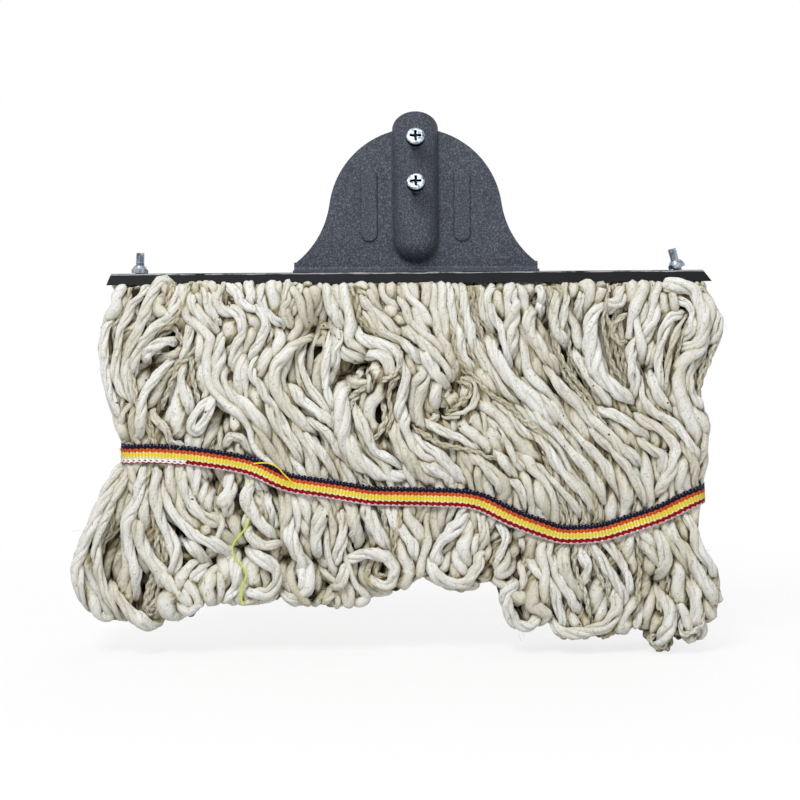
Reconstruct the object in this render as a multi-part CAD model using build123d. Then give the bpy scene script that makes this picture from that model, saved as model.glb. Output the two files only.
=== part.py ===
from build123d import *
import os
from math import cos, hypot, pi, radians, sin, tan

# Clamp mop head: a pressed steel handle socket, a bolted clamp bar and a skirt of cotton yarn.
# Millimetres. +Z runs up along the handle, +X along the clamp bar, and the front faces -Y.
# The origin is on the socket's axis, at the level where its arched mouth begins.

# Handle socket, pressed from sheet in two halves
SHEET = 1.2
BORE_RADIUS = 11.3
SOCKET_RADIUS = BORE_RADIUS + SHEET
SOCKET_DEPTH = 58.7
MOUTH_RISE = 9.0
SOCKET_BLEND = 2.2

# Bell plate around the socket
BELL_CROWN_Z = 1.2
SHOULDER_HALF, SHOULDER_Z = 46.9, -39.4
FLARE_HALF, FLARE_Z = 65.3, -71.2
FOOT_HALF = 66.5
FLANGE_DEPTH = 12.6
BEND_RADIUS = 2.0
BEAD_X, BEAD_Z = 25.3, -40.6
BEAD_LENGTH, BEAD_WIDTH, BEAD_RAISE = 39.6, 9.2, 1.4

# Clamp channel, jaw bar and the yarn pinched between them, all a little left of the socket's axis
CLAMP_X = -3.9
PLATE_Z = -76.8
PLATE_HALF = 13.2
LIP_HALF = 16.2
LIP_DROP = 6.2
CHANNEL_TOP_LEFT, CHANNEL_TOP_RIGHT = -160.6, 158.5
CHANNEL_LIP_HALF = 162.8
CLAMPED_THICKNESS = 4.5
JAW_THICKNESS = 2.5
JAW_HALF_LENGTH, JAW_HALF_DEPTH = 158.0, 8.0
JAW_TOP_Z = PLATE_Z - SHEET - CLAMPED_THICKNESS
JAW_BOTTOM_Z = JAW_TOP_Z - JAW_THICKNESS
HANK_HALF_LENGTH, HANK_HALF_DEPTH = 154.0, 12.0
HANK_LEG_GAP = 0.4
FACE_GAP = 0.05

# M5 clamp bolts and nuts, leaning towards the middle
BOLT_X = 147.1
BOLT_RADIUS = 2.5
LEFT_BOLT_LENGTH, RIGHT_BOLT_LENGTH = 20.0, 22.0
BOLT_HEAD_RADIUS, BOLT_HEAD_HEIGHT = 4.3, 3.4
LEFT_LEAN, RIGHT_LEAN = 3.0, 16.0
NUT_ACROSS_FLATS, NUT_HEIGHT = 8.0, 4.1
NUT_CORNER_RADIUS = NUT_ACROSS_FLATS / 2 / cos(radians(30))
NUT_TOP_RADIUS, NUT_CROWN = 3.0, 2.6
THREAD_CLEARANCE = 0.05
BOLT_SLOT_LENGTH, BOLT_SLOT_WIDTH = 10.0, 6.4
JAW_HOLE_RADIUS, HANK_HOLE_RADIUS = 3.5, 4.0

# M5 pan-head screws that fix the handle, driven at a slant and standing proud of the socket
SCREW_LEVELS = {"upper": -9.2, "lower": -33.1}
SCREW_LEAN = 24.0
SCREW_RADIUS = 2.5
SCREW_HEAD_RADIUS, SCREW_HEAD_HEIGHT, SCREW_HEAD_ROUND = 5.0, 3.6, 1.3
SCREW_STAND_OFF = 7.5
SCREW_TIP_DEPTH = 0.15
RECESS_WIDTH, RECESS_SPAN, RECESS_DEPTH = 1.5, 6.2, 2.0

# Cotton yarn: each side hangs from a fold roll and parts into locks below the stay tape
YARN_X = -2.0
ROLL_RADIUS = 5.0
ROLL_Y, ROLL_Z = 13.5, -90.6
STRAND_WIDTH = 3.3
OUTER_DEPTH, INNER_DEPTH = 7.5, 6.5
REAR_SHORTER = 6.0
LOCK_ROUNDING = 8.0

# Level, left edge, right edge, drift of the middle, and how far out the two rows of strands hang
YARN_LEVELS = [
    (ROLL_Z, -158.0, 158.0, 0.0, 16.0, 11.0),
    (-98.0, -158.0, 158.0, 0.0, 18.0, 10.0),
    (-114.0, -168.0, 166.0, 2.0, 20.5, 9.5),
    (-146.0, -163.0, 155.0, 6.0, 20.0, 8.0),
    (-172.0, -157.0, 157.0, 8.0, 18.5, 7.0),
    (-205.0, -164.0, 153.0, 6.0, 18.5, 7.0),
    (-230.0, -176.0, 158.0, 2.0, 18.5, 7.0),
]
FOOT_ROWS = (18.5, 7.0)

# Strands in a row of each lock, the left and right ends of its foot, and its lowest level
LOCKS = [
    (10, -180.0, -135.0, -268.0),
    (4, -133.0, -117.0, -262.0),
    (10, -114.0, -73.0, -255.0),
    (11, -69.0, -23.0, -257.0),
    (5, -19.0, 3.0, -251.0),
    (10, 6.0, 47.0, -248.0),
    (5, 51.0, 71.0, -270.0),
    (13, 74.0, 129.0, -275.0),
    (8, 132.0, 164.0, -282.0),
]
ROW_COUNT = sum(lock[0] for lock in LOCKS)

# Woven stay tape across each side, as X and Z along its middle, with ends turned round the edges
TAPE_WIDTH, TAPE_THICKNESS = 11.0, 0.8
TAPE_FACE = 18.5 + OUTER_DEPTH / 2 + 0.1
TAPE_END_Y = 7.0
TAPE_LEFT_X, TAPE_RIGHT_X = -161.2, 158.4
TAPE_LINE = [
    (-154.0, -175.1),
    (-115.0, -178.4),
    (-81.6, -183.8),
    (-66.5, -192.0),
    (-23.2, -197.3),
    (28.0, -198.4),
    (47.0, -205.4),
    (79.5, -218.9),
    (101.0, -218.9),
    (122.7, -210.8),
    (151.0, -198.0),
]

# Loose end of sewing thread, hanging from the lower edge of the front tape
THREAD_RADIUS = 0.45
THREAD_ROUTE = [
    (-88.5, -22.8, -187.9),
    (-88.0, -24.6, -200.0),
    (-90.5, -24.9, -213.0),
    (-97.6, -25.0, -225.5),
    (-92.0, -25.0, -237.0),
    (-94.2, -24.9, -246.0),
    (-92.5, -24.8, -255.5),
]


def bell_outline():
    """Front view of the bell plate, from its shoulder arc down to the flares above its foot."""
    with BuildSketch(Plane.XZ) as outline:
        with BuildLine():
            dome = ThreePointArc((-SHOULDER_HALF, SHOULDER_Z), (0, BELL_CROWN_Z), (SHOULDER_HALF, SHOULDER_Z))
            TangentArc(dome @ 1, (FLARE_HALF, FLARE_Z), tangent=dome % 1)
            TangentArc(dome @ 0, (-FLARE_HALF, FLARE_Z), tangent=-(dome % 0))
            Line((-FLARE_HALF, FLARE_Z), (FLARE_HALF, FLARE_Z))
        make_face()
    return outline.sketch


def socket_bulge():
    """Half tube with a rounded end, running into the plate with a soft blend on both sides."""
    tube_length = SOCKET_DEPTH + MOUTH_RISE
    skirt = 2 * (SOCKET_RADIUS + 2 * SOCKET_BLEND)
    with BuildSketch() as section:
        Circle(SOCKET_RADIUS)
        with Locations((0, -SHEET / 2)):
            Rectangle(skirt, SHEET)
        with Locations((0, SOCKET_RADIUS)):
            Rectangle(skirt, 2 * SOCKET_RADIUS, mode=Mode.SUBTRACT)
        corners = section.vertices().filter_by_position(Axis.Y, -SHEET - 0.01, -SHEET + 0.01)
        fillet([c for c in corners if abs(c.X) < SOCKET_RADIUS], SOCKET_BLEND)
    straight = Pos(0, 0, -SOCKET_DEPTH) * extrude(section.sketch, tube_length)
    right_half = section.sketch - Pos(-skirt, 0) * Rectangle(2 * skirt, 4 * SOCKET_RADIUS)
    rounded_end = Pos(0, 0, -SOCKET_DEPTH) * revolve(right_half, Axis.Y, 180)
    tube = Pos(0, 0, MOUTH_RISE - tube_length / 2) * Cylinder(SOCKET_RADIUS, tube_length)
    front = extrude(bell_outline(), 2 * SOCKET_RADIUS)
    front_tube = tube & (Pos(0, -SOCKET_RADIUS, 0) * Box(skirt, 2 * SOCKET_RADIUS, 4 * tube_length))
    return (straight & front) + rounded_end + front_tube


def foot_flange():
    """Lower edge of one half, bent forward to lie on the clamp channel."""
    with BuildSketch(Plane.YZ) as profile:
        with BuildLine():
            Polyline(
                (0, FLARE_Z),
                (0, PLATE_Z),
                (-FLANGE_DEPTH, PLATE_Z),
                (-FLANGE_DEPTH, PLATE_Z + SHEET),
                (-SHEET, PLATE_Z + SHEET),
                (-SHEET, FLARE_Z),
                close=True,
            )
        make_face()
        fillet(profile.vertices().sort_by_distance((0, PLATE_Z))[0], BEND_RADIUS + SHEET)
        fillet(profile.vertices().sort_by_distance((-SHEET, PLATE_Z + SHEET))[0], BEND_RADIUS)
    return extrude(profile.sketch, FOOT_HALF, both=True)


def bead(x):
    """Stiffening bead pressed forward out of the plate, hollow at the back."""
    face = Plane.XZ.offset(SHEET) * Pos(x, BEAD_Z) * Rot(0, 0, 90)
    raised = extrude(face * SlotOverall(BEAD_LENGTH, BEAD_WIDTH), BEAD_RAISE)
    raised = fillet(raised.faces().sort_by(Axis.Y)[0].edges(), BEAD_RAISE * 0.8)
    back = Plane.XZ * Pos(x, BEAD_Z) * Rot(0, 0, 90)
    hollow_slot = SlotOverall(BEAD_LENGTH - 2 * SHEET, BEAD_WIDTH - 2 * SHEET)
    return raised, extrude(back * hollow_slot, BEAD_RAISE)


def socket_half():
    """One pressed half of the socket: bell plate, half tube with a rounded end, beads and foot."""
    shell = extrude(bell_outline(), SHEET) + socket_bulge() + foot_flange()
    for x in (-BEAD_X, BEAD_X):
        raised, hollow = bead(x)
        shell = shell + raised - hollow
    tube_length = SOCKET_DEPTH + MOUTH_RISE
    shell -= Pos(0, 0, MOUTH_RISE - tube_length / 2) * Cylinder(BORE_RADIUS, tube_length)
    shell -= Pos(0, 0, -SOCKET_DEPTH) * Sphere(BORE_RADIUS)
    mouth_block = Pos(0, 0, MOUTH_RISE) * Box(4 * SOCKET_RADIUS, 4 * SOCKET_RADIUS, 2 * MOUTH_RISE)
    arch_face = Plane.XZ * Ellipse(SOCKET_RADIUS + FACE_GAP, MOUTH_RISE)
    arch = extrude(arch_face, 2 * SOCKET_RADIUS, both=True)
    return shell - (mouth_block - arch)


def screw_axis(level):
    """Frame at a handle screw, with its origin on the socket's front and Z out along the screw."""
    return Pos(0, -SOCKET_RADIUS, level) * Rot(90 - SCREW_LEAN, 0, 0)


def front_socket_shell():
    """Front half, with the two holes that the handle screws bite into."""
    shell = socket_half()
    for level in SCREW_LEVELS.values():
        shell -= screw_axis(level) * Cylinder(SCREW_RADIUS + THREAD_CLEARANCE, SOCKET_RADIUS)
    return shell


def rear_socket_shell():
    """Rear half, a plain mirror of the front one."""
    return mirror(socket_half(), Plane.XZ)


def bolt_axis(side):
    """Frame at a clamp bolt, with its origin in the top of the channel and Z along the bolt."""
    lean = LEFT_LEAN if side < 0 else RIGHT_LEAN
    return Pos(side * BOLT_X, 0, PLATE_Z) * Rot(0, -side * lean, 0), radians(lean)


def bolt_hole_x(side, level):
    """Where a leaning bolt's axis crosses a level."""
    lean = bolt_axis(side)[1]
    return side * (BOLT_X + (PLATE_Z - level) * tan(lean))


def clamp_channel():
    """Folded sheet channel with flared lips, slotted for the clamp bolts."""
    slope = (LIP_HALF - PLATE_HALF) / LIP_DROP
    wall = SHEET * hypot(1, slope)
    inner_half = PLATE_HALF + slope * SHEET - wall
    lip_z = PLATE_Z - LIP_DROP
    half_profile = [
        (LIP_HALF - wall, lip_z),
        (LIP_HALF, lip_z),
        (PLATE_HALF, PLATE_Z),
    ]
    mirrored = [(-y, z) for y, z in reversed(half_profile)]
    inner = [(-inner_half, PLATE_Z - SHEET), (inner_half, PLATE_Z - SHEET)]
    inner_band = (PLATE_Z - SHEET - FACE_GAP, PLATE_Z - SHEET + FACE_GAP)
    with BuildSketch(Plane.YZ) as profile:
        with BuildLine():
            Polyline(*half_profile, *mirrored, *inner, close=True)
        make_face()
        fillet(profile.vertices().group_by(Axis.Y)[-1], BEND_RADIUS)
        inner_corners = profile.vertices().filter_by_position(Axis.Y, *inner_band)
        fillet(inner_corners, BEND_RADIUS - SHEET)
    with BuildSketch(Plane.XZ) as front:
        with BuildLine():
            Polyline(
                (-CHANNEL_LIP_HALF, lip_z),
                (CHANNEL_LIP_HALF, lip_z),
                (CHANNEL_TOP_RIGHT, PLATE_Z),
                (CHANNEL_TOP_LEFT, PLATE_Z),
                close=True,
            )
        make_face()
    channel = extrude(profile.sketch, CHANNEL_LIP_HALF, both=True)
    channel &= extrude(front.sketch, LIP_HALF, both=True)
    for side in (-1, 1):
        slot = Pos(side * BOLT_X, 0, PLATE_Z) * SlotOverall(BOLT_SLOT_LENGTH, BOLT_SLOT_WIDTH)
        channel -= extrude(slot, SHEET, both=True)
    return channel


def jaw_bar():
    """Flat bar below the yarn, drawn up by the bolts."""
    middle = (JAW_TOP_Z + JAW_BOTTOM_Z) / 2
    bar = Pos(0, 0, middle) * Box(2 * JAW_HALF_LENGTH, 2 * JAW_HALF_DEPTH, JAW_THICKNESS)
    bar = fillet(bar.edges().filter_by(Axis.Z), JAW_HALF_DEPTH / 2)
    for side in (-1, 1):
        hole = Pos(bolt_hole_x(side, middle), 0, middle)
        bar -= hole * Cylinder(JAW_HOLE_RADIUS, 2 * JAW_THICKNESS)
    return bar


def clamped_yarn():
    """Yarn pinched over the jaw bar, turned down past both of its edges."""
    top = PLATE_Z - SHEET - FACE_GAP
    bottom = ROLL_Z + ROLL_RADIUS + HANK_LEG_GAP
    height = top - bottom
    hank = Pos(0, 0, top - height / 2) * Box(2 * HANK_HALF_LENGTH, 2 * HANK_HALF_DEPTH, height)
    hank = fillet(hank.edges().filter_by(Axis.X).group_by(Axis.Z)[-1], FACE_GAP + 1.0)
    jaw_room = 2 * (JAW_HALF_DEPTH + HANK_LEG_GAP)
    hank -= Pos(0, 0, JAW_TOP_Z - height) * Box(3 * HANK_HALF_LENGTH, jaw_room, 2 * height)
    for side in (-1, 1):
        level = (top + JAW_TOP_Z) / 2
        hank -= Pos(bolt_hole_x(side, level), 0, level) * Cylinder(HANK_HOLE_RADIUS, 2 * height)
    return hank


def clamp_bolt(side):
    """Hex-head bolt from under the jaw bar, up through the yarn and the channel."""
    frame, lean = bolt_axis(side)
    length = LEFT_BOLT_LENGTH if side < 0 else RIGHT_BOLT_LENGTH
    rim_lift = BOLT_HEAD_RADIUS * sin(lean) + FACE_GAP
    seat = (PLATE_Z - JAW_BOTTOM_Z + rim_lift) / cos(lean)
    shank = Pos(0, 0, length / 2) * Cylinder(BOLT_RADIUS, length)
    shank = chamfer(shank.edges().group_by(Axis.Z)[-1], 0.5)
    head = extrude(RegularPolygon(BOLT_HEAD_RADIUS, 6), -BOLT_HEAD_HEIGHT)
    return frame * Pos(0, 0, -seat) * (shank + head)


def clamp_nut(side):
    """Hex nut with a coned crown on a clamp bolt, its lower rim resting on the channel."""
    frame, lean = bolt_axis(side)
    rim_lift = (NUT_CORNER_RADIUS * sin(lean) + FACE_GAP) / cos(lean)
    prism = extrude(RegularPolygon(NUT_CORNER_RADIUS, 6), NUT_HEIGHT)
    turned = Pos(0, 0, NUT_HEIGHT / 2) * Cylinder(NUT_CORNER_RADIUS, NUT_HEIGHT)
    turned = chamfer(turned.edges().filter_by(GeomType.CIRCLE).group_by(Axis.Z)[0], 0.35)
    slope = (NUT_CORNER_RADIUS - NUT_TOP_RADIUS) / NUT_CROWN
    crown = Cone(NUT_TOP_RADIUS + slope * NUT_HEIGHT, NUT_TOP_RADIUS, NUT_HEIGHT)
    prism &= Pos(0, 0, NUT_HEIGHT / 2) * crown
    bore = Cylinder(BOLT_RADIUS + THREAD_CLEARANCE, 4 * NUT_HEIGHT)
    return frame * Pos(0, 0, rim_lift) * ((prism & turned) - bore)


def handle_screw(level):
    """Pan-head screw with a cross recess, its tip just short of the bore."""
    head = Pos(0, 0, SCREW_HEAD_HEIGHT / 2) * Cylinder(SCREW_HEAD_RADIUS, SCREW_HEAD_HEIGHT)
    head = fillet(head.edges().group_by(Axis.Z)[-1], SCREW_HEAD_ROUND)
    for turn in (0, 90):
        blade = Box(RECESS_SPAN, RECESS_WIDTH, 2 * RECESS_DEPTH)
        head -= Pos(0, 0, SCREW_HEAD_HEIGHT) * Rot(0, 0, turn) * blade
    length = SCREW_STAND_OFF + SCREW_TIP_DEPTH
    shank = Pos(0, 0, -length / 2) * Cylinder(SCREW_RADIUS, length)
    return screw_axis(level) * Pos(0, 0, SCREW_STAND_OFF) * (head + shank)


def strand_section(x, y, z, depth):
    """Corners of a level, diamond-shaped section of a strand."""
    half_width, half_depth = STRAND_WIDTH / 2, depth / 2
    corners = [(x - half_width, y), (x, y - half_depth), (x + half_width, y), (x, y + half_depth)]
    return [(corner_x, corner_y, z) for corner_x, corner_y in corners]


def strand(place, foot_x, foot_z, row, facing):
    """One strand from the fold roll to its foot. Place runs from 0 at the left edge to 1 at the right."""
    depth = (OUTER_DEPTH, INNER_DEPTH)[row]
    across = 2 * place - 1
    sections = []
    for z, left, right, drift, *rows in YARN_LEVELS:
        x = left + (right - left) * place + drift * (1 - across**2)
        sections.append(strand_section(x, facing * rows[row], z, depth))
    sections.append(strand_section(foot_x, facing * FOOT_ROWS[row], foot_z, depth))
    polygons = [sections[0], sections[-1]]
    for upper, lower in zip(sections, sections[1:]):
        for here, after in ((0, 1), (1, 2), (2, 3), (3, 0)):
            polygons.append([upper[here], upper[after], lower[after], lower[here]])
    return Solid(Shell([Face(Wire.make_polygon(polygon)) for polygon in polygons]))


def yarn_lock(index, facing):
    """A lock of strands, fused to its slice of the fold roll. Facing is -1 in front, 1 at the rear."""
    count, foot_left, foot_right, foot_z = LOCKS[index]
    first = sum(lock[0] for lock in LOCKS[:index])
    level, left, right = YARN_LEVELS[0][:3]
    pitch = (right - left) / ROW_COUNT
    middle = left + pitch * (first + count / 2)
    roll = Pos(middle, facing * ROLL_Y, ROLL_Z) * Rot(0, 90, 0) * Cylinder(ROLL_RADIUS, pitch * count)
    strands = []
    for step in range(count):
        share = (step + 0.5) / count
        foot_x = foot_left + (foot_right - foot_left) * share
        lift = LOCK_ROUNDING * (2 * share - 1) ** 2
        if facing > 0:
            lift += REAR_SHORTER
        for row in (0, 1):
            place = (first + step + 0.5) / ROW_COUNT
            strands.append(strand(place, foot_x, foot_z + lift, row, facing))
    return roll.fuse(*strands)


def tape_section(inner, outer, z):
    """Upright section of a stay tape, from its inner point to its outer one."""
    top, bottom = z + TAPE_WIDTH / 2, z - TAPE_WIDTH / 2
    corners = [(*inner, top), (*outer, top), (*outer, bottom), (*inner, bottom)]
    return Wire.make_polygon(corners)


def stay_tape(facing):
    """Woven tape sewn across one side of the yarn, with both ends turned round the edges."""
    inner, outer = facing * TAPE_FACE, facing * (TAPE_FACE + TAPE_THICKNESS)
    ends = []
    for edge_x, (_, z), way in ((TAPE_LEFT_X, TAPE_LINE[0], -1), (TAPE_RIGHT_X, TAPE_LINE[-1], 1)):
        out_x = edge_x + way * TAPE_THICKNESS
        tail = tape_section((edge_x, facing * TAPE_END_Y), (out_x, facing * TAPE_END_Y), z)
        corner = tape_section((edge_x, inner), (out_x, outer), z)
        ends.append([tail, corner])
    middle = [tape_section((x, inner), (x, outer), z) for x, z in TAPE_LINE]
    return Solid.make_loft([*ends[0], *middle, *reversed(ends[1])], ruled=True)


def route_radii(points):
    """Largest bend that the runs on both sides of each corner leave room for."""
    radii = []
    for before, corner, after in zip(points, points[1:], points[2:]):
        arrive, leave = Vector(corner) - Vector(before), Vector(after) - Vector(corner)
        turn = radians(arrive.get_angle(leave))
        radii.append(0.45 * min(arrive.length, leave.length) / tan(turn / 2))
    return radii


def loose_thread():
    """Loose sewing thread on its hanging route."""
    radii = route_radii(THREAD_ROUTE)
    path = FilletPolyline(*THREAD_ROUTE, radius=radii)
    section = Plane(path @ 0, z_dir=path % 0) * Circle(THREAD_RADIUS)
    tube = sweep(section, path=path)
    print("thread bend radii", [round(radius, 1) for radius in radii])
    ideal = pi * THREAD_RADIUS**2 * path.length
    print("thread length", round(path.length, 1), "volume ratio", round(tube.volume / ideal, 3))
    return tube


def assembly():
    """Every piece of the mop head by its name."""
    pieces = {
        "front_socket_shell": front_socket_shell(),
        "rear_socket_shell": rear_socket_shell(),
        "clamp_channel": Pos(CLAMP_X, 0, 0) * clamp_channel(),
        "jaw_bar": Pos(CLAMP_X, 0, 0) * jaw_bar(),
        "clamped_yarn": Pos(CLAMP_X, 0, 0) * clamped_yarn(),
        "front_stay_tape": Pos(YARN_X, 0, 0) * stay_tape(-1),
        "rear_stay_tape": Pos(YARN_X, 0, 0) * stay_tape(1),
        "loose_thread": Pos(YARN_X, 0, 0) * loose_thread(),
    }
    for name, side in (("left", -1), ("right", 1)):
        pieces[f"{name}_clamp_bolt"] = Pos(CLAMP_X, 0, 0) * clamp_bolt(side)
        pieces[f"{name}_clamp_nut"] = Pos(CLAMP_X, 0, 0) * clamp_nut(side)
    for name, level in SCREW_LEVELS.items():
        pieces[f"{name}_handle_screw"] = handle_screw(level)
    for name, facing in (("front", -1), ("rear", 1)):
        for index in range(len(LOCKS)):
            pieces[f"{name}_yarn_lock_{index + 1}"] = Pos(YARN_X, 0, 0) * yarn_lock(index, facing)
    return pieces


os.makedirs("parts", exist_ok=True)
for node, piece in assembly().items():
    export_step(piece, f"parts/{node}.step")
print("strands", 4 * ROW_COUNT)
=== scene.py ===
# %% [markdown]
# A clamp mop head, dressed for its picture. The socket, the clamp, the nuts and the handle screws come from
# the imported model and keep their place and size. This lesson gives each of them its finish, makes the clamp
# bolts anew with their threads, and then the soft parts: the looped cotton yarn, the woven stay tape and one
# loose end of thread.

# %% Load the frame
from math import cos, pi, radians, sin

import bpy
import numpy as np
from mathutils import Euler, Matrix, Vector


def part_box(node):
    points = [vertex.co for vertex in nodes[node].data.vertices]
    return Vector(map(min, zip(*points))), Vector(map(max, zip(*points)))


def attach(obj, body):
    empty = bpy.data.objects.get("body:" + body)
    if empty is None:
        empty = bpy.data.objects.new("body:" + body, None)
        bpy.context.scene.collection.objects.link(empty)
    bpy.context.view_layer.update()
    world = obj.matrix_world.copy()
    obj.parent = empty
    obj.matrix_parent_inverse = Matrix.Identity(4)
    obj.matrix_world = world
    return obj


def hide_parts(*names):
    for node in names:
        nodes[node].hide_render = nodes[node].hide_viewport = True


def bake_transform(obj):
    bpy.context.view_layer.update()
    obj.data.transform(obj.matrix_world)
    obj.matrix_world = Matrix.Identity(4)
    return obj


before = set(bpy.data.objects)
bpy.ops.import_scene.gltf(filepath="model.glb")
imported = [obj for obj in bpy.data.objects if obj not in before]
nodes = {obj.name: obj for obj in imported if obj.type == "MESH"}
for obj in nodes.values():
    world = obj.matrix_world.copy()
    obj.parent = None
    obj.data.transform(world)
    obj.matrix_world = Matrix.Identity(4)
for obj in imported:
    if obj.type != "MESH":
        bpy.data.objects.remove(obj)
bpy.ops.object.select_all(action="DESELECT")
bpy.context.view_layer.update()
MM = 0.001

# %% [markdown]
# The photograph was taken from straight in front, a little less than a metre away and a little above the
# middle. Its scale is judged from the fasteners. The camera is set to show the same field, and leans by 0.4
# degrees, as the photograph does. One function then follows a pixel of the photograph out to a plane in
# front of the mop head's middle, and gives its place there in millimetres.

# %% Photograph and camera
PHOTO_SIDE = 800.0
PIXELS_PER_MM = 1.85
AXIS_PIXEL, LEVEL_PIXEL = 417.0, 130.0
CAMERA_DISTANCE = 900.0
CAMERA_RISE = radians(3.5)
CAMERA_ROLL = radians(0.4)
SENSOR = 36.0
FRONT_PLANE = 15.0

middle = Vector((PHOTO_SIDE / 2 - AXIS_PIXEL, 0, LEVEL_PIXEL - PHOTO_SIDE / 2)) / PIXELS_PER_MM
middle.y = -FRONT_PLANE
back = Vector((0.0, -cos(CAMERA_RISE), sin(CAMERA_RISE)))
eye = middle + back * CAMERA_DISTANCE
turn = (-back).to_track_quat("-Z", "Y").to_matrix() @ Matrix.Rotation(-CAMERA_ROLL, 3, "Z")
camera_data = bpy.data.cameras.new("camera")
camera_data.sensor_width = SENSOR
camera_data.lens = SENSOR * CAMERA_DISTANCE / (PHOTO_SIDE / PIXELS_PER_MM)


def add_object(name, data):
    """A new object that shows this data in the scene."""
    piece = bpy.data.objects.new(name, data)
    bpy.context.scene.collection.objects.link(piece)
    return piece


camera = add_object("camera", camera_data)
camera.location = eye * MM
camera.rotation_euler = turn.to_euler()
bpy.context.scene.camera = camera


def from_photo(px, py, out=FRONT_PLANE):
    """Millimetres across and up of a pixel of the photograph, on the plane so far in front of the middle."""
    right = (np.asarray(px, float) - PHOTO_SIDE / 2) / PIXELS_PER_MM / CAMERA_DISTANCE
    up = (PHOTO_SIDE / 2 - np.asarray(py, float)) / PIXELS_PER_MM / CAMERA_DISTANCE
    ray = [row[0] * right + row[1] * up - row[2] for row in turn]
    reach = (-out - eye.y) / ray[1]
    return eye.x + reach * ray[0], eye.z + reach * ray[2]


axis_spot = [round(float(v), 1) for v in from_photo(AXIS_PIXEL, LEVEL_PIXEL)]
print("lens", round(camera_data.lens, 1), "axis at", axis_spot)

# %% [markdown]
# Materials are built from nodes. One function turns a colour written as a hex value, as a paint chart would
# give it, into the linear numbers that the shaders need. A second one adds a node, sets what it is told and
# links the rest. The others start an empty material, link its shader to the output, give a colour ramp its
# stops, and turn the size of a pattern into a texture's scale.

# %% Material helpers


def linear(hex_colour):
    """Linear RGBA of an sRGB hex colour."""
    parts = [int(hex_colour[i : i + 2], 16) / 255 for i in (1, 3, 5)]
    return [p / 12.92 if p <= 0.04045 else ((p + 0.055) / 1.055) ** 2.4 for p in parts] + [1.0]


def add_node(tree, kind, inputs=(), **settings):
    """A shader node with its settings. Each input gets a value, or a socket or the first output of a node."""
    node = tree.nodes.new("ShaderNode" + kind)
    for name, value in settings.items():
        setattr(node, name, value)
    for name, value in dict(inputs).items():
        if isinstance(value, bpy.types.Node):
            value = value.outputs[0]
        if isinstance(value, bpy.types.NodeSocket):
            tree.links.new(value, node.inputs[name])
        else:
            node.inputs[name].default_value = value
    return node


def new_material(name):
    """An empty material and its node tree."""
    material = bpy.data.materials.new(name)
    material.use_nodes = True
    tree = material.node_tree
    tree.nodes.clear()
    return material, tree


def finish_material(tree, shader):
    """Links a shader to the material's output."""
    add_node(tree, "OutputMaterial", {"Surface": shader})


def set_stops(ramp, stops):
    """Gives a colour ramp its stops, each a position and a hex colour."""
    for position, _ in stops[1:-1]:
        ramp.color_ramp.elements.new(position)
    for element, (position, colour) in zip(ramp.color_ramp.elements, stops):
        element.position = position
        element.color = linear(colour)


def per_mm(size):
    """Texture scale at which one unit of a pattern is that many millimetres, on metre coordinates."""
    return 1.0 / (size * MM)


print("middle grey is", [round(part, 3) for part in linear("#808080")])

# %% [markdown]
# The loose end of thread is polyester sewing thread, dyed a bright yellow-green. It is a cord, so it comes
# first: a smooth curve down nearly the same way as its solid, waved as in the photograph, with a round bevel
# of its true thickness.

# %% Sewing thread
thread_finish, tree = new_material("dyed_sewing_thread")
place = add_node(tree, "TexCoord")
strand_wave = add_node(
    tree, "TexWave", {"Vector": place.outputs["Object"], "Scale": per_mm(1.6), "Distortion": 2.0},
    bands_direction="DIAGONAL",
)
thread_colour = add_node(tree, "Mix", {
    0: strand_wave.outputs["Fac"], 6: linear("#b9cf12"), 7: linear("#e6f23a"),
}, data_type="RGBA")
shader = add_node(tree, "BsdfPrincipled", {
    "Base Color": thread_colour.outputs[2], "Roughness": 0.55, "Sheen Weight": 0.2,
})
finish_material(tree, shader)

THREAD_DIAMETER = 0.9
THREAD_ROUTE = [
    (-90.5, -22.8, -187.9), (-90.0, -21.6, -200.0), (-90.5, -24.9, -212.0), (-103.0, -25.0, -225.5),
    (-90.5, -25.0, -238.0), (-97.0, -24.9, -247.0), (-94.5, -24.8, -255.5),
]


def round_curve(name, kind, spots, radius, roundness):
    """A curve along spots in millimetres, with a round bevel and closed ends, and its spline."""
    curve = bpy.data.curves.new(name, "CURVE")
    curve.dimensions = "3D"
    curve.bevel_depth = radius * MM
    curve.bevel_resolution = roundness
    curve.use_fill_caps = True
    spline = curve.splines.new(kind)
    spline.points.add(len(spots) - 1)
    for point, spot in zip(spline.points, spots):
        point.co = (*(c * MM for c in spot), 1.0)
    return curve, spline


thread_curve, spline = round_curve("loose_thread_end", "NURBS", THREAD_ROUTE, THREAD_DIAMETER / 2, 3)
spline.order_u = 3
spline.use_endpoint_u = True
spline.resolution_u = 12
thread_curve.materials.append(thread_finish)
thread = add_object("loose_thread_end", thread_curve)
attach(thread, "front_skirt")
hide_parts("loose_thread")
print("thread points", len(THREAD_ROUTE))

# %% [markdown]
# The pressed bell and socket carry a slate powder coat. Powder melts into a pebbled skin with a dry sheen,
# and tiny paler grains give it a sparkle. The grain of the real one is finer than a pixel, so it is drawn
# at nearly a millimetre to show.

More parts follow.
